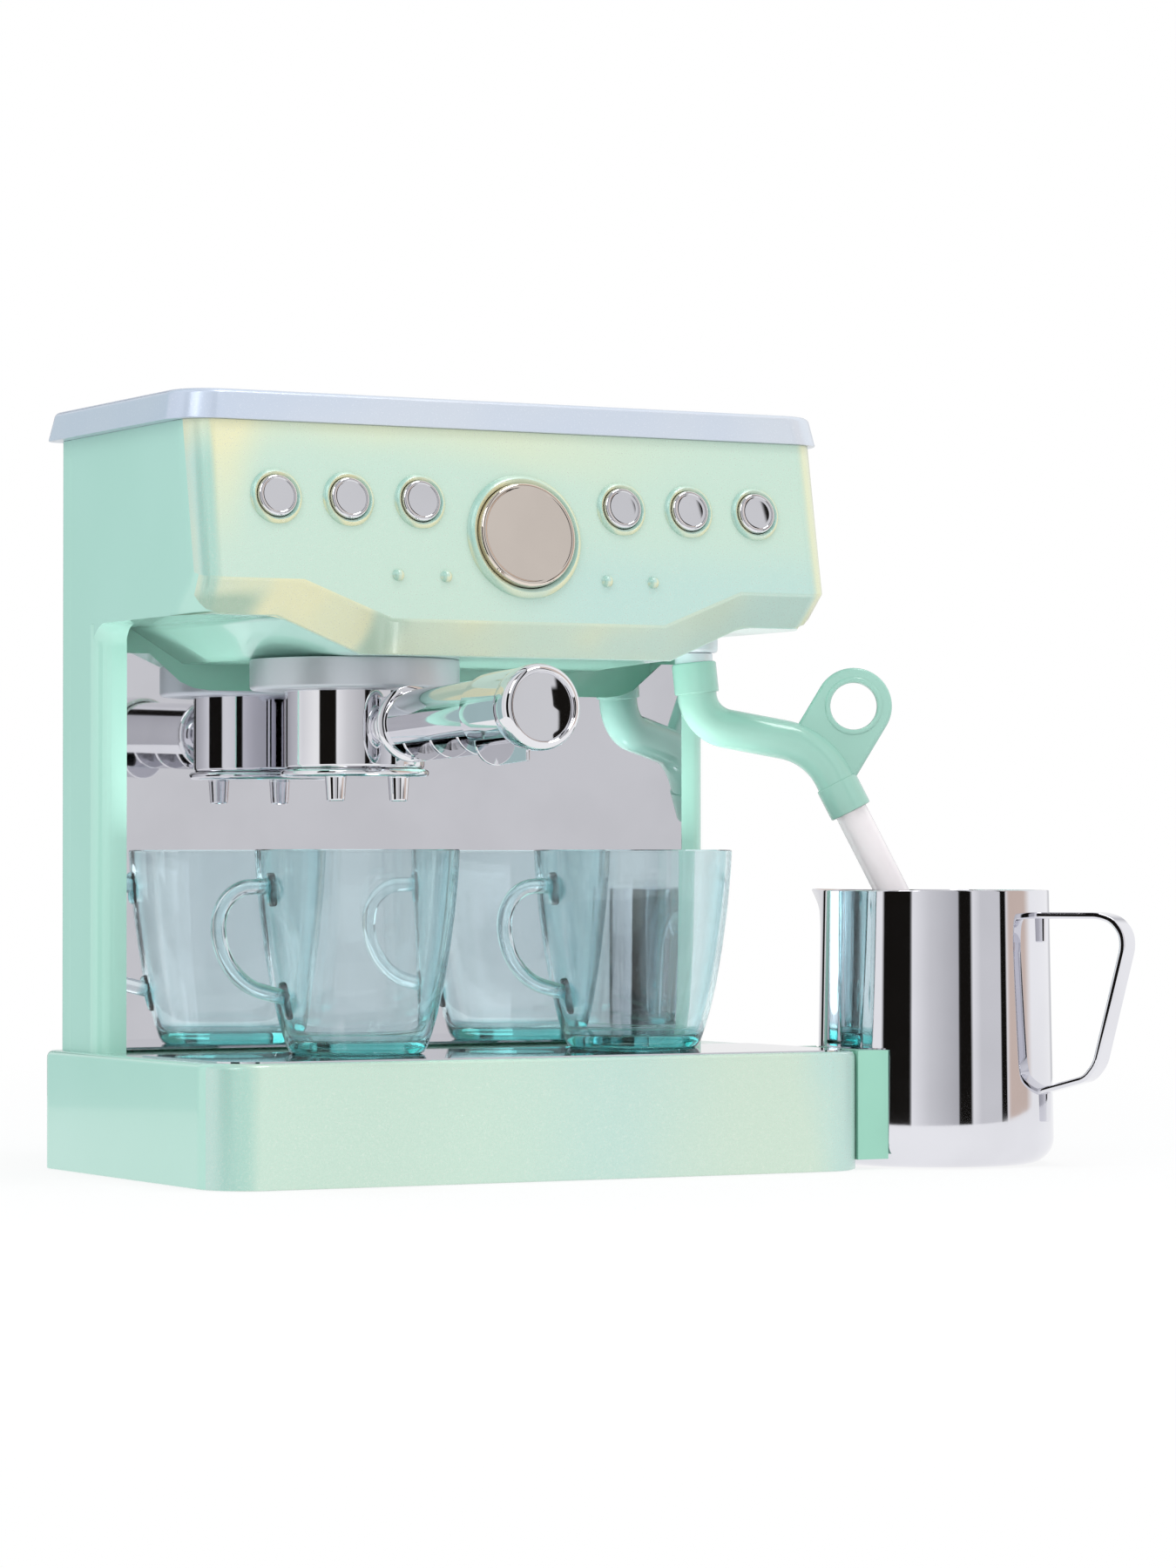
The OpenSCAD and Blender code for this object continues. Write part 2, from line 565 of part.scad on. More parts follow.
// group ring with a bayonet groove
ring_low = belly_z - 9.3;
lug_d = basket_d + 5;
lug_z = ring_low + 3.2;
lug_t = 2.4;
unlock = 45;
module group_ring() color(silver) translate([group_x, group_y, 0]) difference() {
  union() {
    translate([0, 0, ring_low]) rotate_extrude($fn = 96) polygon([[0, 0.3], [ring_d / 2 - 1.2, 0.3],
      [ring_d / 2 - 0.8, 0], [ring_d / 2 - 0.4, 0.2], [ring_d / 2, 1], [ring_d / 2, belly_z - ring_low - slit],
      [0, belly_z - ring_low - slit]]);
    translate([0, 0, belly_z - 1]) cylinder(d = 29.8, h = 4.5);
  }
  translate([0, 0, ring_low - 1]) cylinder(d = basket_d + 0.5, h = 8, $fn = 96);
  translate([0, 0, lug_z - 0.3]) cylinder(d = lug_d + 0.6, h = lug_t + 0.6, $fn = 96);
  for (a = [-unlock, 180 - unlock]) rotate([0, 0, a]) intersection() {
    translate([0, 0, ring_low - 1]) cylinder(d = lug_d + 0.6, h = 5);
    translate([0, -5, ring_low - 1]) cube([40, 10, 5]);
  }
}

module portafilter_basket() color(steel) translate([group_x, group_y, 0]) difference() {
  union() {
    translate([0, 0, plate_z + plate_t]) cylinder(d = basket_d, h = lug_z + lug_t - plate_z - plate_t, $fn = 96);
    for (a = [0, 180]) rotate([0, 0, a]) intersection() {
      translate([0, 0, lug_z]) cylinder(d = lug_d, h = lug_t, $fn = 96);
      translate([0, -4.5, lug_z]) cube([40, 9, lug_t]);
    }
  }
  translate([0, 0, plate_z + plate_t + 2.5]) cylinder(d = basket_d - 3.6, h = 40, $fn = 96);
  for (s = [-1, 1]) translate([s * nozzle_x, nozzle_y, plate_z]) cylinder(d = 3, h = 12, $fn = rod_fn);
}

plate_z = belly_z - 35.2;
plate_t = 2.6;
nozzle_x = 10.4;
nozzle_y = -8.6;
nozzle_l = 7.2;
module spout_plate() color(steel) translate([group_x, group_y, 0]) difference() {
  union() {
    translate([0, 0, plate_z]) rotate_extrude($fn = 96) polygon([[0, 0], [basket_d / 2 + 0.3, 0],
      [basket_d / 2 + 1.1, 0.6], [basket_d / 2 + 1.4, 1.3], [basket_d / 2 + 1.1, 2], [basket_d / 2 + 0.3, plate_t - slit],
      [0, plate_t - slit]]);
    for (s = [-1, 1]) translate([s * nozzle_x, nozzle_y, plate_z - nozzle_l])
      cylinder(d1 = 5.3, d2 = 6.4, h = nozzle_l + 1);
  }
  for (s = [-1, 1]) translate([s * nozzle_x, nozzle_y, plate_z - nozzle_l - 1]) cylinder(d = 3, h = 20, $fn = rod_fn);
}

// handle, local +Z runs along the handle away from the group, local +Y is up
axis_z = belly_z - 21.4;
handle_tilt = 2;
collar_l = 37;
barrel_l = 91;
barrel_r = 9.8;
sleeve_r = 11.4;
cap_r = 12.2;
shell_t = 1.8;
module along() translate([group_x, group_y, axis_z]) rotate([90 - handle_tilt, 0, 0]) children();

// part of a turned profile, open underneath
module half_turn(a) rotate([0, 0, 90 - a / 2]) rotate_extrude(angle = a, $fn = 72) children();

barrel_open = 262;
sleeve_open = 272;
keel_low = 11.4;
keel_deep = 15;
rib_low_r = 8;
sleeve_play = 0.4;
sleeve_flare = 8;
module portafilter_handle() color(steel) {
  // neck between basket and collar, cut to the basket's round wall
  difference() {
    union() {
      along() translate([0, 0, 15]) cylinder(d = 9, h = collar_l - 14);
      along() translate([0, 0, 27]) rotate_extrude() translate([4.8, 0]) circle(d = 3.6, $fn = rod_fn);
      translate([group_x - 1.5, group_y - 31, plate_z + plate_t + slit]) cube([3, 16, 21]);
    }
    translate([group_x, group_y, 0]) cylinder(d = basket_d + 2 * slit, h = top_z, $fn = 96);
  }
  along() {
    translate([0, 0, collar_l]) rotate_extrude($fn = 72) polygon([[0, 0], [10.4, 0], [11.3, 0.9], [11.3, 2.2],
      [10.6, 3], [9.6, 3.2], [9.6, 4], [0, 4]]);
    half_turn(barrel_open) polygon([[barrel_r - shell_t, collar_l + 3], [barrel_r, collar_l + 3],
      [barrel_r + 0.3, barrel_l + 2],
      [barrel_r + 0.3 - shell_t, barrel_l + 2]]);
    intersection() {
      translate([-0.7, -barrel_r + 0.6, collar_l + 3]) cube([1.4, 2 * barrel_r - 1.4, handle_l - collar_l - 12.6]);
      translate([0, 0, collar_l]) cylinder(r = barrel_r - 0.4, h = handle_l);
    }
    // ribs and a lengthwise keel, both hanging a little below the shell
    for (i = [10, 27, 44]) translate([0, 0, collar_l + i * (barrel_l - collar_l) / 54]) {
      cylinder(r = barrel_r - 0.3, h = 1.3);
      translate([0, rib_low_r - keel_low, 0.05]) cylinder(r = rib_low_r, h = 1.2);
    }
    translate([0, 7 - keel_deep, barrel_l + 0.5]) cylinder(r = 7, h = 1.3);
    rotate([0, -90, 0]) linear_extrude(1.2, center = true) polygon([[collar_l + 3.4, -5],
      [collar_l + 3.4, -keel_low], [barrel_l + 0.6, -keel_low], [barrel_l + 3.6, -keel_deep],
      [handle_l - 10.2, -keel_deep + 0.4], [handle_l - 10.2, -5]]);
  }
}

module handle_sleeve() color(steel) along() {
  half_turn(sleeve_open) polygon([[barrel_r + sleeve_play, barrel_l], [sleeve_r, barrel_l],
    [sleeve_r + 0.3, barrel_l + sleeve_flare], [cap_r - 0.45, handle_l - sleeve_flare],
    [barrel_r + sleeve_play, handle_l - sleeve_flare]]);
  rotate_extrude($fn = 72) polygon([[0, handle_l - 5], [9.6, handle_l - 5], [9.6, handle_l - 9.5],
    [cap_r - 0.4, handle_l - 9.5], [cap_r, handle_l - 5.5], [cap_r, handle_l - 2.4],
    [cap_r - 0.7, handle_l - 0.7], [cap_r - 1.6, handle_l], [cap_r - 2.4, handle_l - 0.8], [0, handle_l - 0.8]]);
}

// steam wand, drawn flat then turned to its resting direction
nut_stem_d = 7.9;
pin_d = 11.8;
wand_turn = -28.5;
wand_z = wing_z - 9;
loop_r = 12;
hole_r = 7.3;
module wand_nut() color(silver) translate([wand_x, wand_y, 0]) difference() {
  union() {
    translate([0, 0, wing_z - 6]) rotate_extrude() polygon([[0, 0], [nut_d / 2 - 0.8, 0], [nut_d / 2, 0.8],
      [nut_d / 2, 6 - slit], [0, 6 - slit]]);
    translate([0, 0, wing_z - 0.5]) cylinder(d = nut_stem_d, h = 7);
  }
  translate([0, 0, wing_z - 7]) cylinder(d = 5.2, h = 20);
  translate([0, 0, wing_z + 2.4]) cylinder(d = 6.4, h = 2.6);
}

bend_1 = 11.5;
bend_2 = 22;
turn_1 = 73.2;
turn_2 = 52.2;
first_dir = -84;
leg_1 = 10.6;
leg_2 = 18.13;
loop_at = [50, -13.6];
module bent(r, a, d) rotate_extrude(angle = a, $fn = 96) translate([r, 0]) circle(d = d, $fn = 40);

// a bend starting along local X; children carry on from its end
module turned(r, a) {
  mirror([0, a < 0 ? 1 : 0, 0]) translate([0, r, 0]) rotate([0, 0, -90]) bent(r, abs(a), pipe_d - 0.12);
  translate([r * sin(abs(a)), r * (1 - cos(a)) * sign(a), 0]) rotate([0, 0, a]) children();
}
module pipe(l) translate([-0.3, 0, 0]) rotate([0, 90, 0]) cylinder(d = pipe_d, h = l + 0.6);

// where a line from p touches the circle round c
function touch(c, r, p, side) = let(v = p - c, d = norm(v), a = atan2(v[1], v[0]) + side * acos(r / d))
  c + r * [cos(a), sin(a)];
module loop_web(r) {
  p = [31, -22];
  q = [50, -37];
  translate(loop_at) circle(r = r, $fn = 64);
  polygon([p, touch(loop_at, r - 0.4, p, -1), loop_at, touch(loop_at, r - 0.4, q, 1), q, [44, -36], [38, -28]]);
}

// local X along the wand's reach, local Y up, thickness along local Z
module steam_wand_flat() {
  difference() {
    union() {
      rotate([0, 0, first_dir]) {
        rotate([0, 90, 0]) cylinder(d = 13.9, h = leg_1 - 1);
        turtle_1() pipe(leg_2);
      }
      rotate([0, 0, first_dir]) turtle_2() {
        pipe(3);
        translate([2, 0, 0]) rotate([0, 90, 0]) cylinder(d = 13.4, h = 10.2);
      }
      // ring loop with a web to the pipe
      linear_extrude(3.6, center = true) loop_web(loop_r);
      translate(loop_at) cylinder(r = loop_r - 0.8, h = 5, center = true, $fn = 64);
    }
    translate(loop_at) cylinder(r = hole_r, h = 10, center = true, $fn = 64);
    for (s = [-1, 1]) translate([loop_at[0], loop_at[1], s * 2.51]) rotate([s > 0 ? 0 : 180, 0, 0])
      translate([0, 0, -1]) cylinder(r1 = hole_r - 0.02, r2 = hole_r + 1, h = 1, $fn = 64);
    // seat of the tube
    rotate([0, 0, first_dir]) turtle_2(false) translate([4, 0, 0]) rotate([0, 90, 0])
      cylinder(d = tube_d + 2 * slit, h = 20);
  }
}
// the two bends with their straight pieces, drawn only where asked
module turtle_1(shown = true) translate([leg_1, 0, 0]) {
  if (shown) pipe_start();
  if (shown) turned(bend_1, turn_1) children();
  else translate([bend_1 * sin(turn_1), bend_1 * (1 - cos(turn_1)), 0]) rotate([0, 0, turn_1]) children();
}
module turtle_2(shown = true) turtle_1(false) translate([leg_2, 0, 0]) {
  if (shown) turned(bend_2, -turn_2) children();
  else translate([bend_2 * sin(turn_2), -bend_2 * (1 - cos(turn_2)), 0]) rotate([0, 0, -turn_2]) children();
}
module pipe_start() translate([-2, 0, 0]) rotate([0, 90, 0]) cylinder(d = pipe_d, h = 2.3);

module steam_wand() color(mint) translate([wand_x, wand_y, wand_z]) rotate([0, 0, wand_turn]) {
  rotate([90, 0, 0]) steam_wand_flat();
  translate([0, 0, -1.5]) cylinder(d = pin_d, h = 4.5 - gap);
  translate([0, 0, 2]) cylinder(d = 5, h = 12, $fn = rod_fn);
  translate([0, 0, 11.8]) cylinder(d = 6, h = 1.8, $fn = rod_fn);
}

module wand_tube() color(clear) translate([wand_x, wand_y, wand_z]) rotate([0, 0, wand_turn]) rotate([90, 0, 0])
  rotate([0, 0, first_dir]) turtle_2(false) translate([4.1, 0, 0]) rotate([0, 90, 0]) difference() {
    cylinder(d = tube_d, h = 50);
    translate([0, 0, -1]) cylinder(d = tube_d - 2.6, h = 60);
  }

// pitcher
pitcher_top = pitcher_d - 3.6;
sheet = 1.3;
foot_r = 8;
handle_dir = -56;
module pitcher_skin(g) rotate_extrude($fn = 96) polygon(concat(
  [[0, g]], [for (a = [0 : 10 : 90]) [pitcher_d / 2 - foot_r + (foot_r - g) * sin(a), foot_r - (foot_r - g) * cos(a)]],
  [[pitcher_top / 2 - g, pitcher_h + (g > 0 ? 1 : 0)], [0, pitcher_h + (g > 0 ? 1 : 0)]]));
module spout(g) rotate([0, 0, handle_dir + 180]) intersection() {
  rotate([90, 0, 0]) linear_extrude(40, center = true) polygon([[26, pitcher_h - 18], [33 - g, pitcher_h - 18],
    [41.8 - g * 1.5, pitcher_h - 1.5], [41.8 - g * 1.5, pitcher_h - 0.3 + g], [26, pitcher_h - 0.3 + g]]);
  linear_extrude(pitcher_h + 5) polygon([[26, -13 + g * 1.2], [31, -13 + g * 1.2], [41.8, -1.4 + g * 0.5],
    [41.8, 1.4 - g * 0.5], [31, 13 - g * 1.2], [26, 13 - g * 1.2]]);
}
module pitcher_body() color(steel) translate([pitcher_x, pitcher_y, 0]) difference() {
  union() {
    pitcher_skin(0);
    spout(0);
  }
  pitcher_skin(sheet);
  spout(sheet);
}

strap_w = 9;
module pitcher_handle() color(steel) translate([pitcher_x, pitcher_y, 0]) rotate([0, 0, handle_dir]) difference() {
  union() {
    rotate([90, 0, 0]) linear_extrude(strap_w, center = true) polygon(concat(
      [[34, 78.9], [56.2, 78.9], [61.6, 77.2], [65.5, 72.6], [66.1, 67.2], [56.9, 30.6], [52.6, 25.1], [34, 20.6]],
      [[34, 22.8], [51.6, 27.2], [54.8, 31.2], [63.8, 67.2], [63.4, 71.2], [60.6, 75], [56, 76.7], [34, 76.7]]));
    translate([33, -1.6, 68.5]) cube([4.6, 3.2, 9.4]);
    translate([34, -1.1, 13.5]) cube([3.6, 2.2, 9]);
  }
  pitcher_clear();
}
module pitcher_clear() rotate_extrude($fn = 96) polygon([[0, 0], [pitcher_d / 2 + slit, 8],
  [pitcher_top / 2 + slit, pitcher_h + 1], [0, pitcher_h + 1]]);

// cups
cup_left_at = [group_x - 5.7, group_y - 13.6];
cup_right_at = [group_x + 92.1, group_y - 5.9];
cup_foot = 20;
cup_wall = 1.8;
ear_d = 4.6;
bar_d = 3.6;
ear_turn = 8;
ear_top_r = 11.5;
ear_low_r = 19.6;
ear_z = 37.9;
ear_x = -48.6;
ear_low_a = 76;
cup_curve = [[0, 19.2], [0.5, 20], [2, 20.9], [6, 22.3], [12, 24], [20, 25.8], [30, 27.5], [42, 29.1], [54, 30.2]];
module cup_profile(g) polygon(concat([[0, g > 0 ? 4 : 0]],
  [for (p = cup_curve) if (g == 0 || p[0] > 5) [p[1] * cup_d / 61 - g, p[0] == 6 && g > 0 ? 4 : p[0] * cup_h / 60.4]],
  [[cup_d / 2 - g, cup_h + (g > 0 ? 1 : 0)], [0, cup_h + (g > 0 ? 1 : 0)]]));
module cup() {
  difference() {
    rotate_extrude($fn = 72) cup_profile(0);
    rotate_extrude($fn = 72) cup_profile(cup_wall);
  }
  rotate([0, 0, ear_turn]) difference() {
    union() {
      rotate([90, 0, 0]) {
        // upper bend, then the longer lower one, each running on into the wall
        translate([ear_x + ear_top_r, ear_z, 0]) {
          rotate([0, 0, 90]) rotate_extrude(angle = 91, $fn = 64) translate([ear_top_r, 0]) circle(d = ear_d - 0.12, $fn = 24);
          translate([-0.3, ear_top_r, 0]) rotate([0, 90, 0]) cylinder(d = ear_d, h = 10, $fn = 24);
        }
        translate([ear_x + ear_low_r, ear_z, 0]) {
          rotate([0, 0, 180]) rotate_extrude(angle = ear_low_a, $fn = 64) translate([ear_low_r, 0]) circle(d = ear_d, $fn = 24);
          rotate([0, 0, 180 + ear_low_a]) translate([ear_low_r, -0.3, 0]) rotate([-90, 0, 0])
            cylinder(d = ear_d + 0.12, h = 11, $fn = 24);
        }
      }
      // short bars where the ends meet the wall
      translate([-29.2, 0, 43.8]) rotate([0, -5, 0]) cylinder(d = bar_d, h = 9.6, $fn = rod_fn);
      translate([-22.9, 0, 10.6]) rotate([0, -15, 0]) cylinder(d = bar_d, h = 11, $fn = rod_fn);
    }
    rotate_extrude($fn = 72) cup_profile(cup_wall / 2);
  }
}
module cup_left() color(teal) translate([cup_left_at[0], cup_left_at[1], sheet_z + gap]) cup();
module cup_right() color(teal) translate([cup_right_at[0], cup_right_at[1], sheet_z + gap]) cup();

front_shell();
rear_cover();
rear_screws();
top_tray();
mirror_panel();
base_shell();
base_cover();
base_screws();
column_screws();
drip_sheet();
pitcher_cradle();
battery_door();
door_screw();
cells();
cell_contacts();
power_switch();
switch_body();
speaker();
button_1();
button_2();
button_3();
button_4();
button_5();
button_6();
brew_button();
key_pad();
circuit_board();
board_screws();
group_ring();
portafilter_basket();
spout_plate();
portafilter_handle();
handle_sleeve();
wand_nut();
steam_wand();
wand_tube();
pitcher_body();
pitcher_handle();
cup_left();
cup_right();
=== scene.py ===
import json
from math import acos, atan2, cos, pi, radians, sin, tan

import bmesh
import bpy
from mathutils import Matrix, Vector


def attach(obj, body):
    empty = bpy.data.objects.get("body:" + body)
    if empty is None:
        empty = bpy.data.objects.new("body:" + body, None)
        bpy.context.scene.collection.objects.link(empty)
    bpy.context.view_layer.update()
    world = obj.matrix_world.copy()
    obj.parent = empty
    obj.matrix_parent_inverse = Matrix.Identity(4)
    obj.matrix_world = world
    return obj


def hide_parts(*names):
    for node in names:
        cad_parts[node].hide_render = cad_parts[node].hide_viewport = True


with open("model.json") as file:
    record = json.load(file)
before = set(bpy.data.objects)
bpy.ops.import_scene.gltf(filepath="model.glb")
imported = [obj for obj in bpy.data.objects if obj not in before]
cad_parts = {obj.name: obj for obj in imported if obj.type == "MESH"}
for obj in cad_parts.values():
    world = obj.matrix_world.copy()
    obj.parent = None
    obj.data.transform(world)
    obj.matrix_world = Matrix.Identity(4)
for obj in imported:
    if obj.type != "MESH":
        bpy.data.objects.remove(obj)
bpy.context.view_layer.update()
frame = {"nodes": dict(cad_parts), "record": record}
print("frame loaded:", len(frame["nodes"]), "parts")

scene = bpy.context.scene
mm = 0.001


# shader maths: a socket that can be added, multiplied and so on
class Wire:
    def __init__(self, tree, socket):
        self.tree, self.socket = tree, socket

    def node(self, kind, settings=None, values=None, out=0):
        made = self.tree.nodes.new(kind)
        for name, value in (settings or {}).items():
            if name == "stops":
                ramp = made.color_ramp
                while len(ramp.elements) < len(value):
                    ramp.elements.new(0.5)
                for stop, (place, colour) in zip(ramp.elements, value):
                    stop.position = place
                    stop.color = (*colour, 1.0) if len(colour) == 3 else colour
            else:
                setattr(made, name, value)
        for key, value in (values or {}).items():
            if isinstance(value, Wire):
                self.tree.links.new(value.socket, made.inputs[key])
            else:
                made.inputs[key].default_value = value
        return Wire(self.tree, made.outputs[out])

    def maths(self, operation, a, b=0.0):
        return self.node("ShaderNodeMath", {"operation": operation}, {0: a, 1: b})

    def step(self, low, high):
        return self.node("ShaderNodeMapRange", {"interpolation_type": "SMOOTHSTEP"},
                         {"Value": self, "From Min": low, "From Max": high})

    def mix(self, a, b):
        a, b = [(*x, 1.0) if isinstance(x, tuple) and len(x) == 3 else x for x in (a, b)]
        return self.node("ShaderNodeMix", {"data_type": "RGBA"}, {0: self, 6: a, 7: b}, out=2)


for sign, operation in (("add", "ADD"), ("sub", "SUBTRACT"), ("mul", "MULTIPLY"), ("truediv", "DIVIDE")):
    setattr(Wire, f"__{sign}__", lambda a, b, operation=operation: a.maths(operation, a, b))
    setattr(Wire, f"__r{sign}__", lambda a, b, operation=operation: a.maths(operation, b, a))


def linear(r, g, b):
    # written as on a screen from 0 to 255, used as light
    shares = [c / 255 for c in (r, g, b)]
    return tuple(c / 12.92 if c <= 0.04045 else ((c + 0.055) / 1.055) ** 2.4 for c in shares)


def newMaterial(name, build, **fixed):
    made = bpy.data.materials.new(name)
    made.use_nodes = True
    tree = made.node_tree
    tree.nodes.clear()
    surface = tree.nodes.new("ShaderNodeBsdfPrincipled")
    end = tree.nodes.new("ShaderNodeOutputMaterial")
    tree.links.new(surface.outputs[0], end.inputs[0])
    spot = Wire(tree, tree.nodes.new("ShaderNodeTexCoord").outputs["Object"])
    for name, value in fixed.items():
        surface.inputs[name.replace("_", " ")].default_value = value
    for name, value in build(spot).items():
        tree.links.new(value.socket, surface.inputs[name])
    return made


def noise(spot, scale, detail=2.0, rough=0.5, offset=None):
    if offset is not None:
        spot = spot.node("ShaderNodeMapping", {}, {"Vector": spot, "Location": offset})
    return spot.node("ShaderNodeTexNoise", {},
                     {"Vector": spot, "Scale": scale, "Detail": detail, "Roughness": rough})


def bump(height, strength, distance=0.0002):
    return height.node("ShaderNodeBump", {}, {"Height": height, "Strength": strength, "Distance": distance})


def axisOf(spot, letter):
    return spot.node("ShaderNodeSeparateXYZ", {}, {0: spot}, out="XYZ".index(letter))


def distanceTo(spot, point):
    return spot.node("ShaderNodeVectorMath", {"operation": "DISTANCE"}, {0: spot, 1: point}, out=1)


def edgeOn(spot, blend):
    # rises where a surface turns away from the eye
    return spot.node("ShaderNodeLayerWeight", {}, {"Blend": blend}, out=1)


# finishes
# where the cups stand is kept here, as their finish needs it too
cup = {
    "left": (-41.7, -17.0, 36.5), "right": (56.1, -9.3, 36.5), "high": 60.4, "wall": 1.7, "floor": 4.0,
    "ear": 2.3, "earTurn": 8.0, "earTop": 49.4, "barTop": (-29.9, 0, 48.6), "barLow": (-24.6, 0, 16.0),
}
plastic = {
    "mint": linear(167, 213, 199), "mintLight": linear(171, 216, 203), "mintShade": linear(150, 204, 184),
    "mintWand": linear(155, 199, 185), "chinShade": linear(146, 178, 158),
    "cornerShade": linear(146, 192, 180), "pearl": linear(184, 211, 197),
    "pearlGold": linear(222, 219, 178), "pearlBlue": linear(168, 205, 203),
    "pearlFleck": linear(244, 248, 236), "tray": linear(190, 202, 220), "trayWarm": linear(204, 211, 220),
    "trayFleck": linear(240, 243, 250), "cupWall": linear(240, 253, 254), "cupRim": linear(146, 228, 234),
    "cupBar": linear(96, 208, 214), "cupFoot": linear(84, 214, 209), "tube": linear(255, 249, 251),
    "tubeRim": linear(178, 176, 186),
}


def mintShell(spot):
    cloud = noise(spot, 14, 2)
    peel = noise(spot, 420, 1)
    return {
        "Base Color": cloud.step(0.3, 0.7).mix(plastic["mint"], plastic["mintLight"]),
        "Roughness": 0.16 + 0.06 * noise(spot, 60, 3),
        "Normal": bump(peel, 0.06),
    }


# where the pearl paint takes a painted gold sheen, a blue tint and painted shade: heights and sides in
# metres, facings from -1 to 1
sheen = {
    "drift": 0.036, "head": (0.1, 0.12), "chinUp": (-0.95, -0.74), "chinFlat": (-0.1, 0.12),
    "chinReach": (0.0, 0.09), "topRise": (0.204, 0.222), "topReach": (-0.05, 0.09),
    "leftFace": (-0.42, -0.2), "leftReach": (-0.101, -0.084), "leftRise": (0.178, 0.212),
    "rightFace": (0.1, 0.45), "slopeStart": (-0.084, -0.076), "slopeEnd": (-0.054, -0.05),
    "baseStart": (0.0, 0.07), "baseEnd": (0.085, 0.1), "blueSide": (-0.03, 0.03), "blueBelow": (0.175, 0.2),
    "blueRight": (0.25, 0.7), "blueLeft": (-0.8, -0.4), "valleyStart": (-0.0535, -0.05),
    "valleyEnd": (-0.046, -0.041), "underStart": (-0.1015, -0.0985), "underEnd": (-0.086, -0.076),
    "underBelow": (0.172, 0.1755), "cornerStart": (-0.95, -0.7), "cornerEnd": (-0.45, -0.15),
    "cornerBelow": (0.2, 0.222), "fleck": (0.52, 0.74),
}


def fade(value, name):
    return value.step(*sheen[name])


def between(value, start, end):
    # full inside, fading over the two stretches at its ends
    return fade(value, start) * (1 - fade(value, end))


def pearlPaint(spot):
    drift = noise(spot, 16, 2, 0.5, (0.3, 0.1, 0.7)) * sheen["drift"] - sheen["drift"] / 2
    side, height = axisOf(spot, "X") + drift, axisOf(spot, "Z") + drift
    facing = Wire(spot.tree, spot.tree.nodes.new("ShaderNodeNewGeometry").outputs["Normal"])
    up, across = axisOf(facing, "Z"), axisOf(facing, "X")
    glitter = noise(spot, 2600, 1, 0.6)
    fleck = fade(glitter, "fleck")
    head = fade(height, "head")
    # painted sheen: gold strips along the head's top and its left and right edges, over the chin's facets and
    # slope, and faintly on the base's front
    topStrip = fade(height, "topRise") * (1 - fade(side, "topReach")) * 0.6
    leftStrip = fade(across, "leftFace") * (1 - fade(side, "leftReach")) * fade(height, "leftRise")
    leftStrip = leftStrip * head * 0.75
    rightStrip = fade(across, "rightFace") * head * 0.7
    chinFace = between(up, "chinUp", "chinFlat") * (1 - fade(side, "chinReach") * 0.7) * head
    chinRim = chinFace * (0.2 + 0.5 * noise(spot, 22, 2, 0.5, (0.8, 0.4, 0.1)).step(0.35, 0.65))
    slope = chinFace * between(side, "slopeStart", "slopeEnd") * 0.5
    baseGlow = (1 - head) * between(side, "baseStart", "baseEnd") * 0.25
    goldSheen = topStrip + leftStrip + rightStrip + chinRim + slope + baseGlow + 0.05
    blue = (fade(side, "blueSide") * (1 - fade(height, "blueBelow"))
            + fade(across, "blueRight") + (1 - fade(across, "blueLeft")))
    # painted shade: the chin's left end and the low corner of its wave are darkened towards chinShade
    valleyShade = chinFace * between(side, "valleyStart", "valleyEnd") * 0.6
    below = 1 - fade(height, "underBelow")
    under = chinFace * between(side, "underStart", "underEnd") * below + valleyShade
    # painted shade: a darker teal strip where the head's front corners turn to the sides
    corner = between(across, "cornerStart", "cornerEnd") * (1 - fade(height, "cornerBelow"))
    tone = (spot.maths("MINIMUM", blue, 1.0) * 0.6).mix(plastic["pearl"], plastic["pearlBlue"])
    tone = spot.maths("MINIMUM", goldSheen, 0.9).mix(tone, plastic["pearlGold"])
    tone = (corner * 0.7).mix(tone, plastic["cornerShade"])
    tone = (under * 0.8).mix(tone, plastic["chinShade"])
    return {
        "Base Color": (fleck * 0.30).mix(tone, plastic["pearlFleck"]),
        "Roughness": 0.30 - 0.08 * fleck + 0.05 * noise(spot, 90, 2),
        "Metallic": 0.10 + 0.18 * fleck,
        "Normal": bump(glitter, 0.04, 0.0001),
    }


def trayPearl(spot):
    glitter = noise(spot, 2200, 1, 0.6)
    cloud = noise(spot, 10, 2)
    tone = cloud.step(0.35, 0.7).mix(plastic["tray"], plastic["trayWarm"])
    return {
        "Base Color": (glitter.step(0.58, 0.75) * 0.25).mix(tone, plastic["trayFleck"]),
        "Roughness": 0.26 + 0.08 * noise(spot, 80, 2),
        "Metallic": 0.22 + 0.1 * glitter,
        "Normal": bump(glitter, 0.05, 0.0001),
    }


def polished(tone, low, high, wave=0.03):
    def build(spot):
        smudge = noise(spot, 35, 3)
        return {
            "Base Color": smudge.step(0.35, 0.7).mix(tone, tuple(c * 0.95 for c in tone)),
            "Roughness": low + (high - low) * noise(spot, 120, 3),
            "Normal": bump(noise(spot, 55, 2), wave, 0.0004),
        }
    return build


def satin(tone, low, high):
    def build(spot):
        grain = noise(spot, 900, 2)
        return {
            "Base Color": noise(spot, 30, 2).step(0.3, 0.7).mix(tone, tuple(c * 0.93 for c in tone)),
            "Roughness": low + (high - low) * grain,
            "Normal": bump(grain, 0.08, 0.0001),
        }
    return build


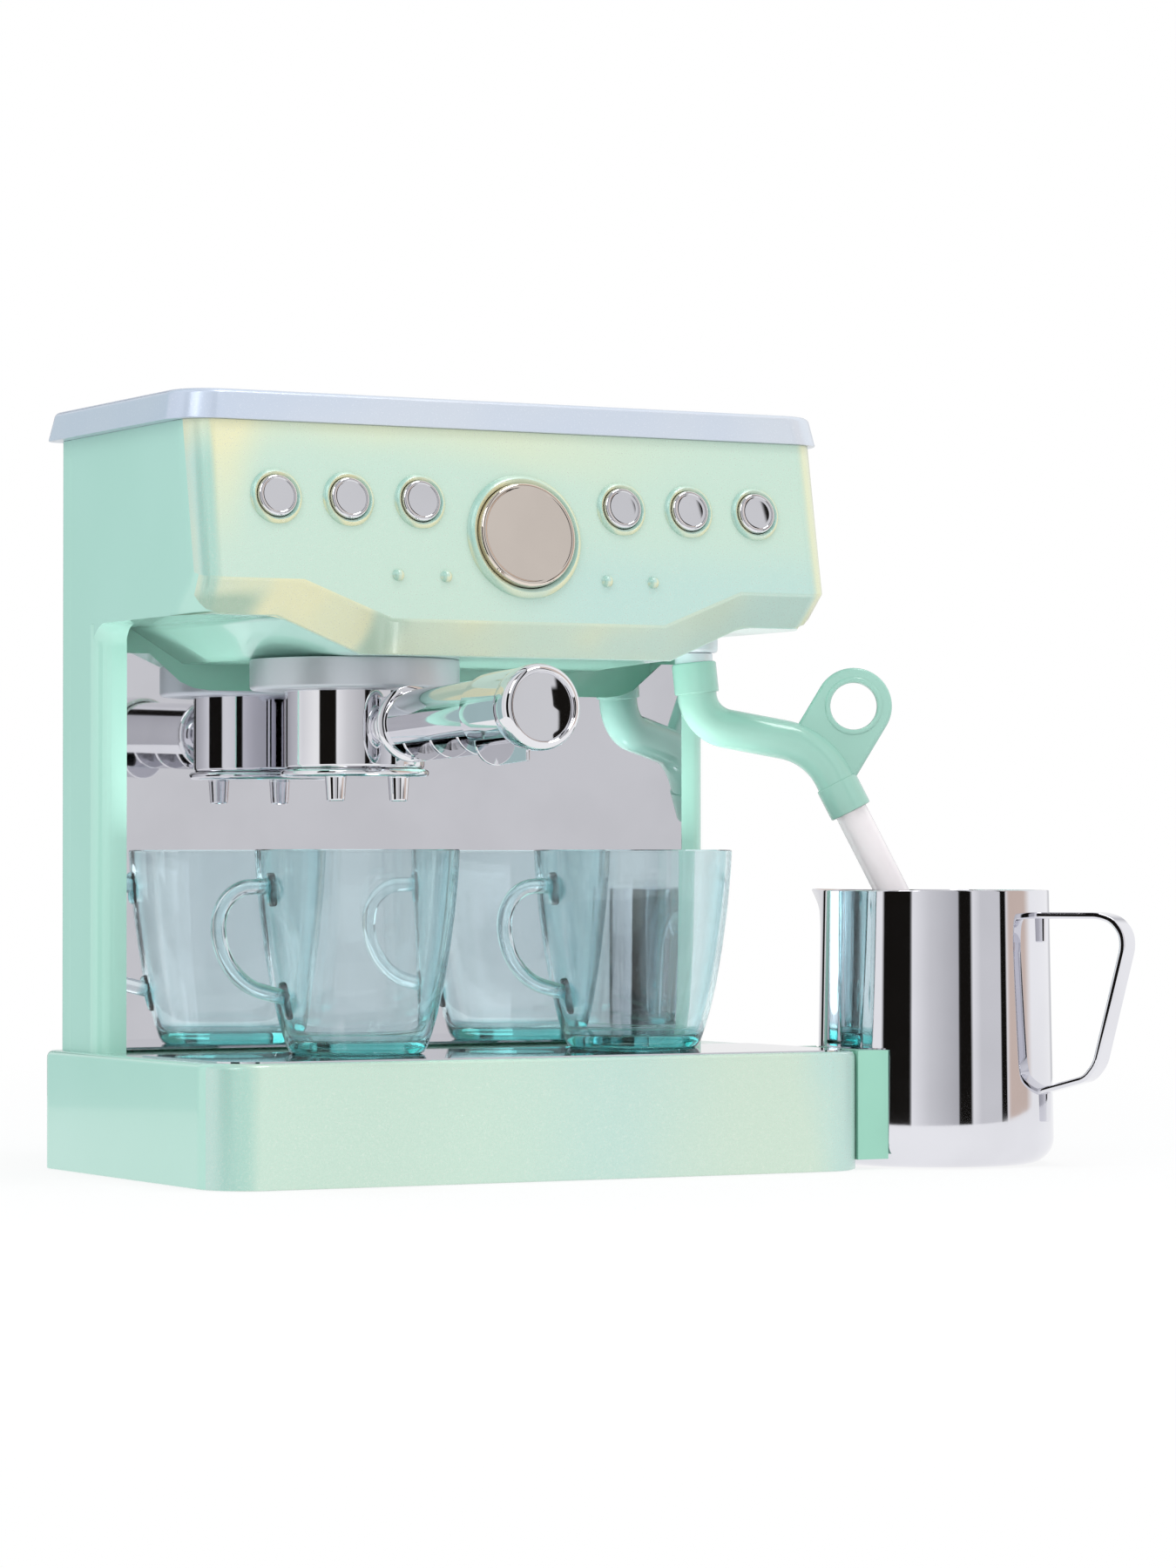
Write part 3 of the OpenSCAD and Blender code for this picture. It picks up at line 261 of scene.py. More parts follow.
def tealCup(spot):
    # deeper in the foot, along the rim and where the ear's two bars meet the wall
    turned = Matrix.Rotation(radians(cup["earTurn"]), 3, "Z")
    bars = 0.0
    for place in (cup["left"], cup["right"]):
        for bar in (cup["barTop"], cup["barLow"]):
            away = distanceTo(spot, (turned @ Vector(bar) + Vector(place)) * mm)
            bars = bars + 1 - away.step(0.0032, 0.005)
    low = 1 - axisOf(spot, "Z").step(0.0385, 0.0425)
    rim = edgeOn(spot, 0.3)
    wall = (rim.step(0.2, 0.85) * 0.75).mix(plastic["cupWall"], plastic["cupRim"])
    wall = (bars * 0.8).mix(wall, plastic["cupBar"])
    return {
        "Base Color": low.mix(wall, plastic["cupFoot"]),
        "Roughness": 0.01 + 0.015 * noise(spot, 90, 2),
        "Alpha": spot.maths("MINIMUM", 0.86 - 0.06 * low + 0.2 * rim - 0.3 * bars, 1.0),
        "Normal": bump(noise(spot, 130, 2), 0.05, 0.0003),
    }


def clearTube(spot):
    rim = edgeOn(spot, 0.4)
    return {
        "Base Color": rim.step(0.6, 0.95).mix(plastic["tube"], plastic["tubeRim"]),
        "Roughness": 0.1 + 0.03 * noise(spot, 60, 2),
        "Alpha": 0.32 + 0.55 * rim,
    }


metalPlated = {"Metallic": 1.0}
finishes = {
    "mint": newMaterial("mintShell", mintShell, Coat_Weight=0.6, Coat_Roughness=0.05),
    "pearl": newMaterial("pearlPaint", pearlPaint, Coat_Weight=0.5, Coat_Roughness=0.12),
    # a darker mint, painted shade for pieces that stand in the shade
    "mint_under": newMaterial("mintUnderShade", satin(plastic["mintShade"], 0.32, 0.5)),
    "wand": newMaterial("wandMint", satin(plastic["mintWand"], 0.18, 0.28), Coat_Weight=0.4,
                        Coat_Roughness=0.06),
    "tray_pearl": newMaterial("trayPearl", trayPearl, Coat_Weight=0.5, Coat_Roughness=0.08),
    "mirror_sheet": newMaterial("mirrorSheet", polished(linear(228, 228, 233), 0.015, 0.035, 0.01),
                                **metalPlated),
    "chrome": newMaterial("chromePlate", polished(linear(232, 232, 236), 0.02, 0.06), **metalPlated),
    "pitcher_chrome": newMaterial("pitcherChrome", polished(linear(228, 228, 234), 0.02, 0.05),
                                  **metalPlated),
    "satin_silver": newMaterial("satinSilver", satin(linear(196, 201, 207), 0.3, 0.46), Metallic=0.6),
    "brew": newMaterial("brewPlate", polished(linear(233, 222, 211), 0.02, 0.05, 0.01), **metalPlated),
    "nut": newMaterial("nutSilver", satin(linear(222, 229, 234), 0.25, 0.4), Metallic=0.35),
    "screw_steel": newMaterial("screwSteel", satin(linear(176, 178, 182), 0.25, 0.45), **metalPlated),
    "cup_teal": newMaterial("cupTeal", tealCup, Transmission_Weight=1.0, IOR=1.3),
    "clear_tube": newMaterial("clearTube", clearTube, IOR=1.4),
    "dark_plastic": newMaterial("darkPlastic", satin(linear(46, 48, 50), 0.3, 0.5)),
    "speaker_black": newMaterial("speakerBlack", satin(linear(34, 35, 36), 0.45, 0.6)),
    "switch_case": newMaterial("switchCase", satin(linear(60, 62, 66), 0.3, 0.5)),
    "rubber_pad": newMaterial("rubberPad", satin(linear(120, 122, 124), 0.6, 0.8)),
    "board_green": newMaterial("boardGreen", satin(linear(36, 98, 66), 0.35, 0.5)),
    "cell_jacket": newMaterial("cellJacket", satin(linear(150, 152, 156), 0.25, 0.4)),
    "contact_plate": newMaterial("contactPlate", satin(linear(190, 190, 186), 0.25, 0.4), **metalPlated),
}
for row in frame["record"]["subparts"]:
    part = frame["nodes"][row["node"]]
    part.data.materials.clear()
    part.data.materials.append(finishes[row["material_slot"]])
print("finishes made:", len(finishes))


# modelling helpers, all in millimetres until a piece is finished
def outward(bm):
    bmesh.ops.recalc_face_normals(bm, faces=bm.faces)


def placed(bm, matrix):
    bmesh.ops.transform(bm, matrix=matrix, verts=bm.verts)


def lathe(points, steps=72, at=(0, 0, 0), turn=None, bm=None):
    made = bmesh.new()
    spots = [made.verts.new((r, 0, z)) for r, z in points]
    lines = [made.edges.new(pair) for pair in zip(spots, spots[1:])]
    bmesh.ops.spin(made, geom=spots + lines, cent=(0, 0, 0), axis=(0, 0, 1), angle=2 * pi, steps=steps,
                   use_merge=True)
    bmesh.ops.remove_doubles(made, verts=made.verts, dist=0.001)
    outward(made)
    placed(made, Matrix.Translation(at) @ (turn or Matrix.Identity(4)))
    return added(bm, made)


def added(bm, made):
    if bm is None:
        return made
    spare = bpy.data.meshes.new("spare")
    made.to_mesh(spare)
    made.free()
    bm.from_mesh(spare)
    bpy.data.meshes.remove(spare)
    return bm


def block(low, high):
    made = bmesh.new()
    low, high = Vector(low), Vector(high)
    bmesh.ops.create_cube(made, size=1)
    bmesh.ops.scale(made, vec=high - low, verts=made.verts)
    bmesh.ops.translate(made, vec=(low + high) / 2, verts=made.verts)
    return made


def edgesWhere(bm, test, bend=0):
    found = []
    for e in bm.edges:
        if len(e.link_faces) == 2 and e.calc_face_angle(0) < radians(bend):
            continue
        a, b = e.verts[0].co, e.verts[1].co
        if test(a, b):
            found.append(e)
    return found


def uprights(bm, test, tall=5):
    # standing edges whose two ends both pass the test
    return edgesWhere(bm, lambda a, b: abs(a.z - b.z) > tall and test(a) and test(b))


def pointsOf(geom):
    return [g for g in geom if isinstance(g, bmesh.types.BMVert)]


def linesOf(geom):
    return [g for g in geom if isinstance(g, bmesh.types.BMEdge)]


def turnZ(degrees):
    return Matrix.Rotation(radians(degrees), 4, "Z")


def bent(bm, turn):
    # edges between two faces that meet at more than this, in radians
    return [e for e in bm.edges if len(e.link_faces) == 2 and e.calc_face_angle(0) > turn]


def drawn(bm, edges, vec):
    ran = bmesh.ops.extrude_edge_only(bm, edges=edges)["geom"]
    bmesh.ops.translate(bm, vec=vec, verts=pointsOf(ran))
    return linesOf(ran)


def swept(bm, edges, cent, axis, degrees, steps):
    spun = bmesh.ops.spin(bm, geom=edges, cent=cent, axis=axis, angle=radians(degrees), steps=steps,
                          use_merge=False)
    return linesOf(spun["geom_last"])


def closed(bm):
    bmesh.ops.remove_doubles(bm, verts=bm.verts, dist=0.001)
    bmesh.ops.holes_fill(bm, edges=bm.edges)
    outward(bm)


def rounded(bm, edges, radius, segments=4):
    return bmesh.ops.bevel(bm, geom=edges, offset=radius, offset_type="OFFSET", affect="EDGES",
                           segments=segments, profile=0.5, material=-1, clamp_overlap=True)


def asObject(bm, name="spare"):
    mesh = bpy.data.meshes.new(name)
    bm.to_mesh(mesh)
    bm.free()
    obj = bpy.data.objects.new(name, mesh)
    scene.collection.objects.link(obj)
    return obj


def combined(first, second, operation):
    # both come as bmeshes and go back as one
    a, b = asObject(first), asObject(second)
    change = a.modifiers.new("combine", "BOOLEAN")
    change.operation, change.solver, change.object = operation, "EXACT", b
    graph = bpy.context.evaluated_depsgraph_get()
    mesh = bpy.data.meshes.new_from_object(a.evaluated_get(graph))
    made = bmesh.new()
    made.from_mesh(mesh)
    for obj in (a, b):
        old = obj.data
        bpy.data.objects.remove(obj)
        bpy.data.meshes.remove(old)
    bpy.data.meshes.remove(mesh)
    return made


def finished(name, bm, body, slot, replaces=(), paints=None, sharp=38):
    bmesh.ops.scale(bm, vec=(mm, mm, mm), verts=bm.verts)
    for face in bm.faces:
        face.smooth = True
    obj = asObject(bm, name)
    obj.data.set_sharp_from_angle(angle=radians(sharp))
    for paint in paints or [finishes[slot]]:
        obj.data.materials.append(paint)
    even = obj.modifiers.new("evenNormals", "WEIGHTED_NORMAL")
    even.keep_sharp = True
    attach(obj, body)
    if replaces:
        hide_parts(*replaces)
    return obj


# head, with the panel tilted and its chin waved
head = {
    "half": 105.2, "flare": 1.2, "topZ": 221.0, "topY": -38.5, "tilt": 9.9, "wingZ": 164.5, "bellyZ": 153.7,
    "chin": 9.9, "chinBack": 10.0, "chinTop": (73.0, 45.5), "chinLow": (78.0, 52.0),
    "bellyRear": (86.0, 68.0), "columnY": 30.0, "columnW": 9.5, "columnCorner": 6.0, "seamY": 50.8,
    "corner": 9.0, "chinEdge": 3.2, "bellyEdge": 3.0, "cove": 7.0, "baseTop": 36.0,
}


def panelY(z):
    return head["topY"] + tan(radians(head["tilt"])) * (z - head["topZ"])


def onPanel(x, z):
    # out of the panel is local Z, up along it is local Y
    return Matrix.Translation((x, panelY(z), z)) @ Matrix.Rotation(radians(90 - head["tilt"]), 4, "X")


def chinLine(x, levels, points):
    # height of a waved line at x: high at the sides, low in the middle
    share = min(max((abs(x) - points[1]) / (points[0] - points[1]), 0), 1)
    return levels[1] + (levels[0] - levels[1]) * share


def ring(bm, right):
    spots = [bm.verts.new(p) for p in right] + [bm.verts.new((-x, y, z)) for x, y, z in reversed(right)]
    return [bm.edges.new((a, b)) for a, b in zip(spots, spots[1:] + spots[:1])]


def headSolid():
    h = head
    half, topY, topZ, wingZ, bellyZ = (h[key] for key in ("half", "topY", "topZ", "wingZ", "bellyZ"))
    upper, lower = wingZ + h["chin"], bellyZ + h["chin"]
    bm = bmesh.new()
    front = ring(bm, [(half, topY, topZ), (half + h["flare"], panelY(upper), upper),
                      (h["chinTop"][0], panelY(upper), upper), (h["chinTop"][1], panelY(lower), lower)])
    yWing, yBelly = panelY(wingZ) + h["chinBack"], panelY(bellyZ) + h["chinBack"]
    chin = ring(bm, [(half, topY + 14, topZ), (half - 0.5, yWing, wingZ),
                     (h["chinLow"][0], yWing, wingZ), (h["chinLow"][1], yBelly, bellyZ)])
    rear, back = [ring(bm, [(half, y, topZ), (half, y, wingZ), (h["bellyRear"][0], y, wingZ),
                            (h["bellyRear"][1], y, bellyZ)]) for y in (h["columnY"], h["seamY"])]
    for a, b in ((front, chin), (chin, rear), (rear, back)):
        bmesh.ops.bridge_loops(bm, edges=a + b)
    for end in (front, back):
        bmesh.ops.contextual_create(bm, geom=end)
    outward(bm)
    # the corners between panel and sides, then the two chin lines and the belly
    sideX, frontY, bellyX, slack = half - 2.2, yWing + 0.1, 90, 0.7

    def panelCorner(a, b):
        atSide = min(abs(a.x), abs(b.x)) > sideX and a.x * b.x > 0
        atFront = max(a.y, b.y) < frontY and a.y != b.y
        return atSide and atFront and abs(a.z - b.z) > 5 and min(a.z, b.z) > 160

    def chinEdge(a, b):
        if max(a.y, b.y) > -25:
            return False
        for levels, points in (((upper, lower), h["chinTop"]), ((wingZ, bellyZ), h["chinLow"])):
            if all(abs(p.z - chinLine(p.x, levels, points)) < slack for p in (a, b)):
                return True
        return False

    def bellyEdge(a, b):
        under = max(a.z, b.z) < wingZ + 1.5 and min(abs(a.x), abs(b.x)) < bellyX
        return under and a.x * b.x > 0 and abs(a.y - b.y) > 30

    rounded(bm, edgesWhere(bm, panelCorner), h["corner"], 6)
    rounded(bm, edgesWhere(bm, chinEdge, 8), h["chinEdge"], 4)
    rounded(bm, edgesWhere(bm, bellyEdge, 8), h["bellyEdge"], 3)
    return bm


bm = headSolid()


def columnAt(side):
    # one front corner of the back box, with the cove where it meets the head
    half, wide, y, corner, r = (head[key] for key in ("half", "columnW", "columnY", "columnCorner", "cove"))
    top = head["wingZ"]
    inner, outer = sorted((side * (half - wide), side * half))
    column = block((inner, y, head["baseTop"]), (outer, head["seamY"], top + 6))
    rounded(column, uprights(column, lambda p: p.y < y + 0.1 and abs(p.x) > half - 0.1), corner, 7)
    # the cove runs straight along the head, then turns with the column's corner
    middle = side * (half - corner)
    near, far = sorted((side * (half - wide + 0.3), middle))
    straight = block((near, y - r, top - r), (far, y + 2.6, top + 0.5))
    across = Matrix.Translation((0, y - r, top - r)) @ Matrix.Rotation(pi / 2, 4, "Y")
    straight = combined(straight, lathe([(0, -120), (r, -120), (r, 120), (0, 120)], 64, turn=across),
                        "DIFFERENCE")
    near, far = sorted((middle - side * 0.01, side * (half - 0.03)))
    bend = [(corner + r * (1 - cos(radians(a))), top - r * (1 - sin(radians(a)))) for a in range(0, 91, 10)]
    turned = lathe([(0, top - r)] + bend + [(bend[-1][0], top + 0.4), (0, top + 0.4)], 96,
                   (middle, y + corner, 0))
    limits = block((near, y - 20, top - 20), (far, y + 3, top + 20))
    cove = combined(straight, combined(turned, limits, "INTERSECT"), "UNION")
    return combined(column, cove, "UNION")


for side in (-1, 1):
    bm = combined(bm, columnAt(side), "UNION")
bmesh.ops.dissolve_limit(bm, angle_limit=radians(0.5), verts=bm.verts, edges=bm.edges)
seamEdges = edgesWhere(bm, lambda a, b: min(a.y, b.y) > head["seamY"] - 0.05 and abs(a.z - b.z) > 5
                       and min(abs(a.x), abs(b.x)) > head["half"] - 0.05, 20)
rounded(bm, seamEdges, 0.4, 2)

bezel = {"smallBore": 6.35, "smallOut": 8.1, "smallUp": 1.3, "brewBore": 16.0, "brewOut": 18.75,
         "brewUp": 2.0}
panel = {"buttonX": (33.7, 56.9, 80.1), "domeX": (26.9, 42.6), "buttonRow": 198.9, "brewRow": 189.5,
         "domeRow": 176.9}
buttonX = [s * x for s in (-1, 1) for x in panel["buttonX"]]


def panelBore(x, z, radius, steps):
    lathe([(0, -14), (radius, -14), (radius, 8), (0, 8)], steps, turn=onPanel(x, z), bm=bores)


bores = bmesh.new()
for x in buttonX:
    panelBore(x, panel["buttonRow"], bezel["smallBore"], 40)
panelBore(0, panel["brewRow"], bezel["brewBore"], 72)
bm = combined(bm, bores, "DIFFERENCE")
for face in bm.faces:
    middle = face.calc_center_median()
    face.material_index = int(face.normal.y < -0.25 and middle.y < -26 and middle.z > 150)
finished("frontShell", bm, "machine", "mint", ["front_shell"], [finishes["mint"], finishes["pearl"]], 32)


def bezelRing(x, z, kind, name, steps):
    inner, outer, up = bezel[kind + "Bore"], bezel[kind + "Out"], bezel[kind + "Up"]
    bm = lathe([(inner, -3), (outer + 0.3, -3), (outer + 0.1, 0.1), (outer, up * 0.3),
                (outer - up * 0.25, up * 0.75), (outer - up * 0.7, up), (inner + up * 0.6, up),
                (inner + 0.1, up * 0.6), (inner, up * 0.3), (inner, -3)], steps, turn=onPanel(x, z))
    finished(name, bm, "machine", "mint", paints=[finishes["pearl"]], sharp=60)


for i, x in enumerate(sorted(buttonX), 1):
    bezelRing(x, panel["buttonRow"], "small", f"bezel_{i}", 48)
bezelRing(0, panel["brewRow"], "brew", "brewBezel", 96)
domes = bmesh.new()
domeCurve = [(0, 1.75), (0.7, 1.65), (1.35, 1.2), (1.75, 0.5), (1.9, -0.5), (0, -0.5)]
for x in sorted(s * x for s in (-1, 1) for x in panel["domeX"]):
    lathe(domeCurve, 24, turn=onPanel(x, panel["domeRow"]), bm=domes)
finished("statusDomes", domes, "machine", "mint", paints=[finishes["pearl"]], sharp=60)
print("head made")

# buttons
button = {"radius": 6.2, "out": 2.1, "deep": 6.0, "lip": 1.1, "crown": 0.12}
brew = {"radius": 15.85, "out": 3.6, "deep": 7.0, "lip": 1.5, "crown": 0.12}


def domed(radius, low, high, steps=6):
    return [(radius * (1 - k / steps), high - (high - low) * (1 - k / steps) ** 2) for k in range(steps + 1)]


def buttonCap(x, z, cap, name, body, node, steps, paint):
    r, out, deep, lip, crown = (cap[key] for key in ("radius", "out", "deep", "lip", "crown"))
    side = [(0, -deep), (r, -deep), (r, out - lip * 0.8), (r - lip * 0.12, out - lip * 0.4),
            (r - lip * 0.4, out - lip * 0.1), (r - lip * 0.8, out), (r - lip * 1.1, out - 0.12)]
    face = domed(r - lip * 1.25, out - 0.15 - crown, out - 0.15)
    bm = lathe(side + face, steps, turn=onPanel(x, z))
    finished(name, bm, body, "chrome", [node], [finishes[paint]], sharp=50)


for i, x in enumerate(sorted(buttonX), 1):
    buttonCap(x, panel["buttonRow"], button, f"buttonCap_{i}", f"key_{i}", f"button_{i}", 48, "chrome")
buttonCap(0, panel["brewRow"], brew, "brewCap", "brew", "brew_button", 96, "brew")

# top tray
tray = {
    "half": 108.9, "halfDeep": 51.6, "front": -40.1, "back": 63.2, "low": 221.05, "high": 230.0,
    "frontCorner": 13.5, "backCorner": 4.0, "taper": 1.8, "rim": 5.5, "innerCorner": 0.8, "floor": 223.4,
    "draft": (0.985, 0.97, 1), "edge": 1.6, "lowEdge": 0.5,
}


def trayShape():
    t = tray
    bm = block((-t["half"], t["front"], t["low"]), (t["half"], t["back"], t["high"]))
    for at, radius in ((t["front"], t["frontCorner"]), (t["back"], t["backCorner"])):
        rounded(bm, uprights(bm, lambda p: abs(p.y - at) < 0.1 and abs(p.x) > t["half"] - 0.1), radius, 8)
    top = [f for f in bm.faces if f.normal.z > 0.9]
    middle = Vector((0, (t["front"] + t["back"]) / 2, t["high"]))
    bmesh.ops.scale(bm, vec=(1 - t["taper"] / t["half"], 1 - t["taper"] / t["halfDeep"], 1),
                    verts=top[0].verts, space=Matrix.Translation(-middle))
    bmesh.ops.inset_region(bm, faces=top, thickness=t["rim"], use_even_offset=True)
    # the rim is wider than the back corners' radius, so the inset's arcs there are turned the right way again
    edge, small = Vector((t["half"] - t["taper"], t["back"] - t["taper"])), t["innerCorner"]
    for v in [v for v in top[0].verts if v.co.y > t["back"] - 12 and abs(v.co.x) > t["half"] - 12]:
        side = Vector((1 if v.co.x > 0 else -1, 1))
        outer = side * (edge - Vector((t["backCorner"],) * 2))
        inner = side * (edge - Vector((t["rim"] + small,) * 2))
        v.co.xy = inner + small * (outer - v.co.xy).normalized()
    deeper = bmesh.ops.extrude_face_region(bm, geom=top)
    low = pointsOf(deeper["geom"])
    bmesh.ops.delete(bm, geom=top, context="FACES_ONLY")
    bmesh.ops.translate(bm, vec=(0, 0, t["floor"] - t["high"]), verts=low)
    bmesh.ops.scale(bm, vec=t["draft"], verts=low, space=Matrix.Translation((0, -middle.y, 0)))
    rounded(bm, edgesWhere(bm, lambda a, b: min(a.z, b.z) > t["high"] - 0.05, 40), t["edge"], 4)
    rounded(bm, edgesWhere(bm, lambda a, b: max(a.z, b.z) < t["low"] + 0.05, 40), t["lowEdge"], 2)
    return bm


finished("topTray", trayShape(), "machine", "tray_pearl", ["top_tray"])
print("tray and buttons made")

# base
base = {
    "half": 108.5, "depth": 66.0, "high": 36.0, "frontCorner": 16.0, "backCorner": 6.0, "edge": 2.2,
    "lowEdge": 0.6, "wall": 2.4, "sheetHalf": 103.6, "sheetFront": -63.05, "sheetBack": 2.05,
    "sheetSink": 0.6, "sheetCorners": (11, 2),
}


def roundedBlock(half, front, back, low, high, frontCorner, backCorner, segments=8):
    bm = block((-half, front, low), (half, back, high))
    for at, radius in ((front, frontCorner), (back, backCorner)):
        rounded(bm, uprights(bm, lambda p: abs(p.y - at) < 0.01 and abs(p.x) > half - 0.01, 0.1), radius,
                segments)
    return bm


def baseShape():
    b = base
    bm = roundedBlock(b["half"], -b["depth"], b["depth"], 0, b["high"], b["frontCorner"], b["backCorner"], 10)
    rounded(bm, edgesWhere(bm, lambda p, q: min(p.z, q.z) > b["high"] - 0.01, 40), b["edge"], 5)
    rounded(bm, edgesWhere(bm, lambda p, q: max(p.z, q.z) < 0.01, 40), b["lowEdge"], 2)
    w = b["wall"]
    hollow = roundedBlock(b["half"] - w, -b["depth"] + w, b["depth"] - w, -1, b["high"] - w,
                          b["frontCorner"] - w, b["backCorner"] - w)
    bm = combined(bm, hollow, "DIFFERENCE")
    seat = roundedBlock(b["sheetHalf"], b["sheetFront"], b["sheetBack"], b["high"] - b["sheetSink"], 40,
                        *b["sheetCorners"])
    bm = combined(bm, seat, "DIFFERENCE")
    for face in bm.faces:
        middle = face.calc_center_median()
        face.material_index = int(face.normal.y < -0.3 and middle.y < -b["depth"] + 12)
    return bm


finished("baseShell", baseShape(), "machine", "mint", ["base_shell"], [finishes["mint"], finishes["pearl"]])
print("base made")

# group ring and portafilter
group = {
    "x": -36.0, "y": -3.4, "ringR": 31.5, "ringBore": 21.4, "ringLow": 144.4, "ringHigh": 153.65,
    "basketR": 21.0, "basketTop": 150.0, "plateLow": 118.5, "plateThick": 2.55, "nozzleX": 10.4,
    "nozzleY": -8.6, "nozzleLow": 111.3, "nozzleBore": 1.5, "nozzleLong": 7.3,
}


def atGroup(points, dx=0.0, dy=0.0, steps=96, bm=None):
    return lathe(points, steps, (group["x"] + dx, group["y"] + dy, 0), bm=bm)


def groupRing():
    low, high, r, bore = (group[key] for key in ("ringLow", "ringHigh", "ringR", "ringBore"))
    return atGroup([(bore, low + 0.5), (bore + 0.4, low + 0.1), (r - 2.1, low), (r - 0.7, low + 0.15),
                    (r - 0.2, low + 0.6), (r, low + 1.3), (r, high - 0.4), (r - 0.3, high), (bore, high),
                    (bore, low + 0.5)])


def basket():
    low, r, high = group["plateLow"] + group["plateThick"], group["basketR"], group["basketTop"]
    return atGroup([(0, low), (r - 1, low), (r - 0.4, low + 0.2), (r - 0.05, low + 0.8), (r, low + 1.4),
                    (r, high), (0, high)])


def spoutPlate():
    low, r, high = group["plateLow"], group["basketR"], group["plateLow"] + group["plateThick"]
    bm = atGroup([(0, low), (r + 0.2, low), (r + 0.8, low + 0.25), (r + 1.25, low + 0.8),
                  (r + 1.4, low + 1.35), (r + 1.2, low + 1.9), (r + 0.7, high - 0.2), (r, high), (0, high)])
    low, bore, high = group["nozzleLow"], group["nozzleBore"], group["nozzleLow"] + group["nozzleLong"]
    nozzle = [(bore, low + 0.5), (bore + 0.3, low + 0.1), (bore + 0.8, low), (bore + 1.1, low + 0.2),
              (bore + 1.25, low + 0.7), (bore + 1.7, high - 0.3), (bore + 1.9, high), (bore, high),
              (bore, low + 0.5)]
    for side in (-1, 1):
        atGroup(nozzle, side * group["nozzleX"], group["nozzleY"], 36, bm)
    return bm


finished("groupRing", groupRing(), "machine", "satin_silver", ["group_ring"])
finished("basket", basket(), "portafilter", "chrome", ["portafilter_basket"])
finished("spoutPlate", spoutPlate(), "portafilter", "chrome", ["spout_plate"])

handle = {
    "axisZ": 132.3, "tilt": 2.0, "collar": 37.0, "barrel": 91.0, "length": 121.5, "neckR": 4.5,
    "barrelR": 9.8, "sleeveR": 11.4, "capR": 12.2, "shell": 1.8, "ribs": (47.0, 64.0, 81.0),
    "ribThick": 1.3, "barrelTurn": 262, "sleeveTurn": 272, "keelLow": 11.4, "keelDeep": 15.0,
    "ribLowR": 8.0, "ribDeepR": 7.0,
}
along = (Matrix.Translation((group["x"], group["y"], handle["axisZ"]))
         @ Matrix.Rotation(radians(90 - handle["tilt"]), 4, "X"))


def troughTurn(points, angle, steps, bm):
    # a wall profile swept round the handle's line, left open underneath
    made = bmesh.new()
    spots = [made.verts.new((r, 0, z)) for r, z in points]
    face = made.faces.new(spots)
    bmesh.ops.rotate(made, verts=spots, cent=(0, 0, 0),
                     matrix=Matrix.Rotation(radians(90 - angle / 2), 3, "Z"))
    bmesh.ops.spin(made, geom=spots + list(face.edges) + [face], cent=(0, 0, 0), axis=(0, 0, 1),
                   angle=radians(angle), steps=steps, use_merge=False)
    bmesh.ops.remove_doubles(made, verts=made.verts, dist=0.0005)
    outward(made)
    rounded(made, bent(made, 1.2), 0.35, 2)
    placed(made, along)
    return added(bm, made)


def portafilterHandle():
    h = handle
    c, b, r = h["collar"], h["barrel"], h["barrelR"]
    n = h["neckR"]
    neck = [(0, 15), (n, 15), (n, 24.4), (n + 1.1, 24.8), (n + 1.9, 25.8), (n + 2.15, 27), (n + 1.9, 28.2),
            (n + 1.1, 29.2), (n, 29.6), (n, 33), (n + 0.7, 34.6), (n + 2.1, 36), (n + 2.1, 37.5), (0, 37.5)]
    collar = [(0, c), (r - 0.2, c), (r + 0.7, c + 0.2), (r + 1.3, c + 0.7), (r + 1.5, c + 1.5),
              (r + 1.3, c + 2.2), (r + 0.7, c + 2.6), (r + 0.1, c + 2.7), (r - 0.05, c + 3.2),
              (r - 0.2, c + 4.2), (0, c + 4.2)]
    bm = lathe(neck, 48, turn=along)
    lathe(collar, 72, turn=along, bm=bm)
    wall = [(r - h["shell"], c + 3), (r, c + 3), (r + 0.3, b + 2), (r + 0.3 - h["shell"], b + 2)]
    troughTurn(wall, h["barrelTurn"], 52, bm)

    def rib(z, radius, drop=0.0):
        end = z + h["ribThick"]
        curve = [(0, z), (radius - 0.2, z), (radius, z + 0.25), (radius, end - 0.25), (radius - 0.2, end),
                 (0, end)]
        lathe(curve, 48, turn=along @ Matrix.Translation((0, -drop, 0)), bm=bm)

    for z in h["ribs"]:
        rib(z, r - 0.3)
        rib(z, h["ribLowR"], h["keelLow"] - h["ribLowR"])
    rib(b + 0.5, h["ribDeepR"], h["keelDeep"] - h["ribDeepR"])
    keel = bmesh.new()
    edge = [(c + 3.4, 5), (c + 3.4, h["keelLow"]), (b + 0.6, h["keelLow"]), (b + 3.6, h["keelDeep"]),
            (h["length"] - 10.2, h["keelDeep"] - 0.4), (h["length"] - 10.2, 5)]
    side = keel.faces.new([keel.verts.new((-0.6, -drop, z)) for z, drop in edge])
    ran = bmesh.ops.extrude_face_region(keel, geom=[side])["geom"]
    bmesh.ops.translate(keel, vec=(1.2, 0, 0), verts=pointsOf(ran))
    outward(keel)
    rounded(keel, [e for e in keel.edges if e.calc_face_angle(0) > 1], 0.25, 2)
    placed(keel, along)
    added(bm, keel)
    web = block((-0.7, 0.9 - r, c + 3), (0.7, r - 1.0, h["length"] - 9.6))
    rounded(web, web.edges, 0.25, 2)
    placed(web, along)
    added(bm, web)
    # the short stay between the spout plate and the neck
    x, y = group["x"], group["y"]
    stay = block((x - 1.5, y - 31, group["plateLow"] + 2.6), (x + 1.5, y - 20.5, h["axisZ"] + 9.8))
    rounded(stay, stay.edges, 0.4, 2)
    return added(bm, stay)


finished("portafilterHandle", portafilterHandle(), "portafilter", "chrome", ["portafilter_handle"])


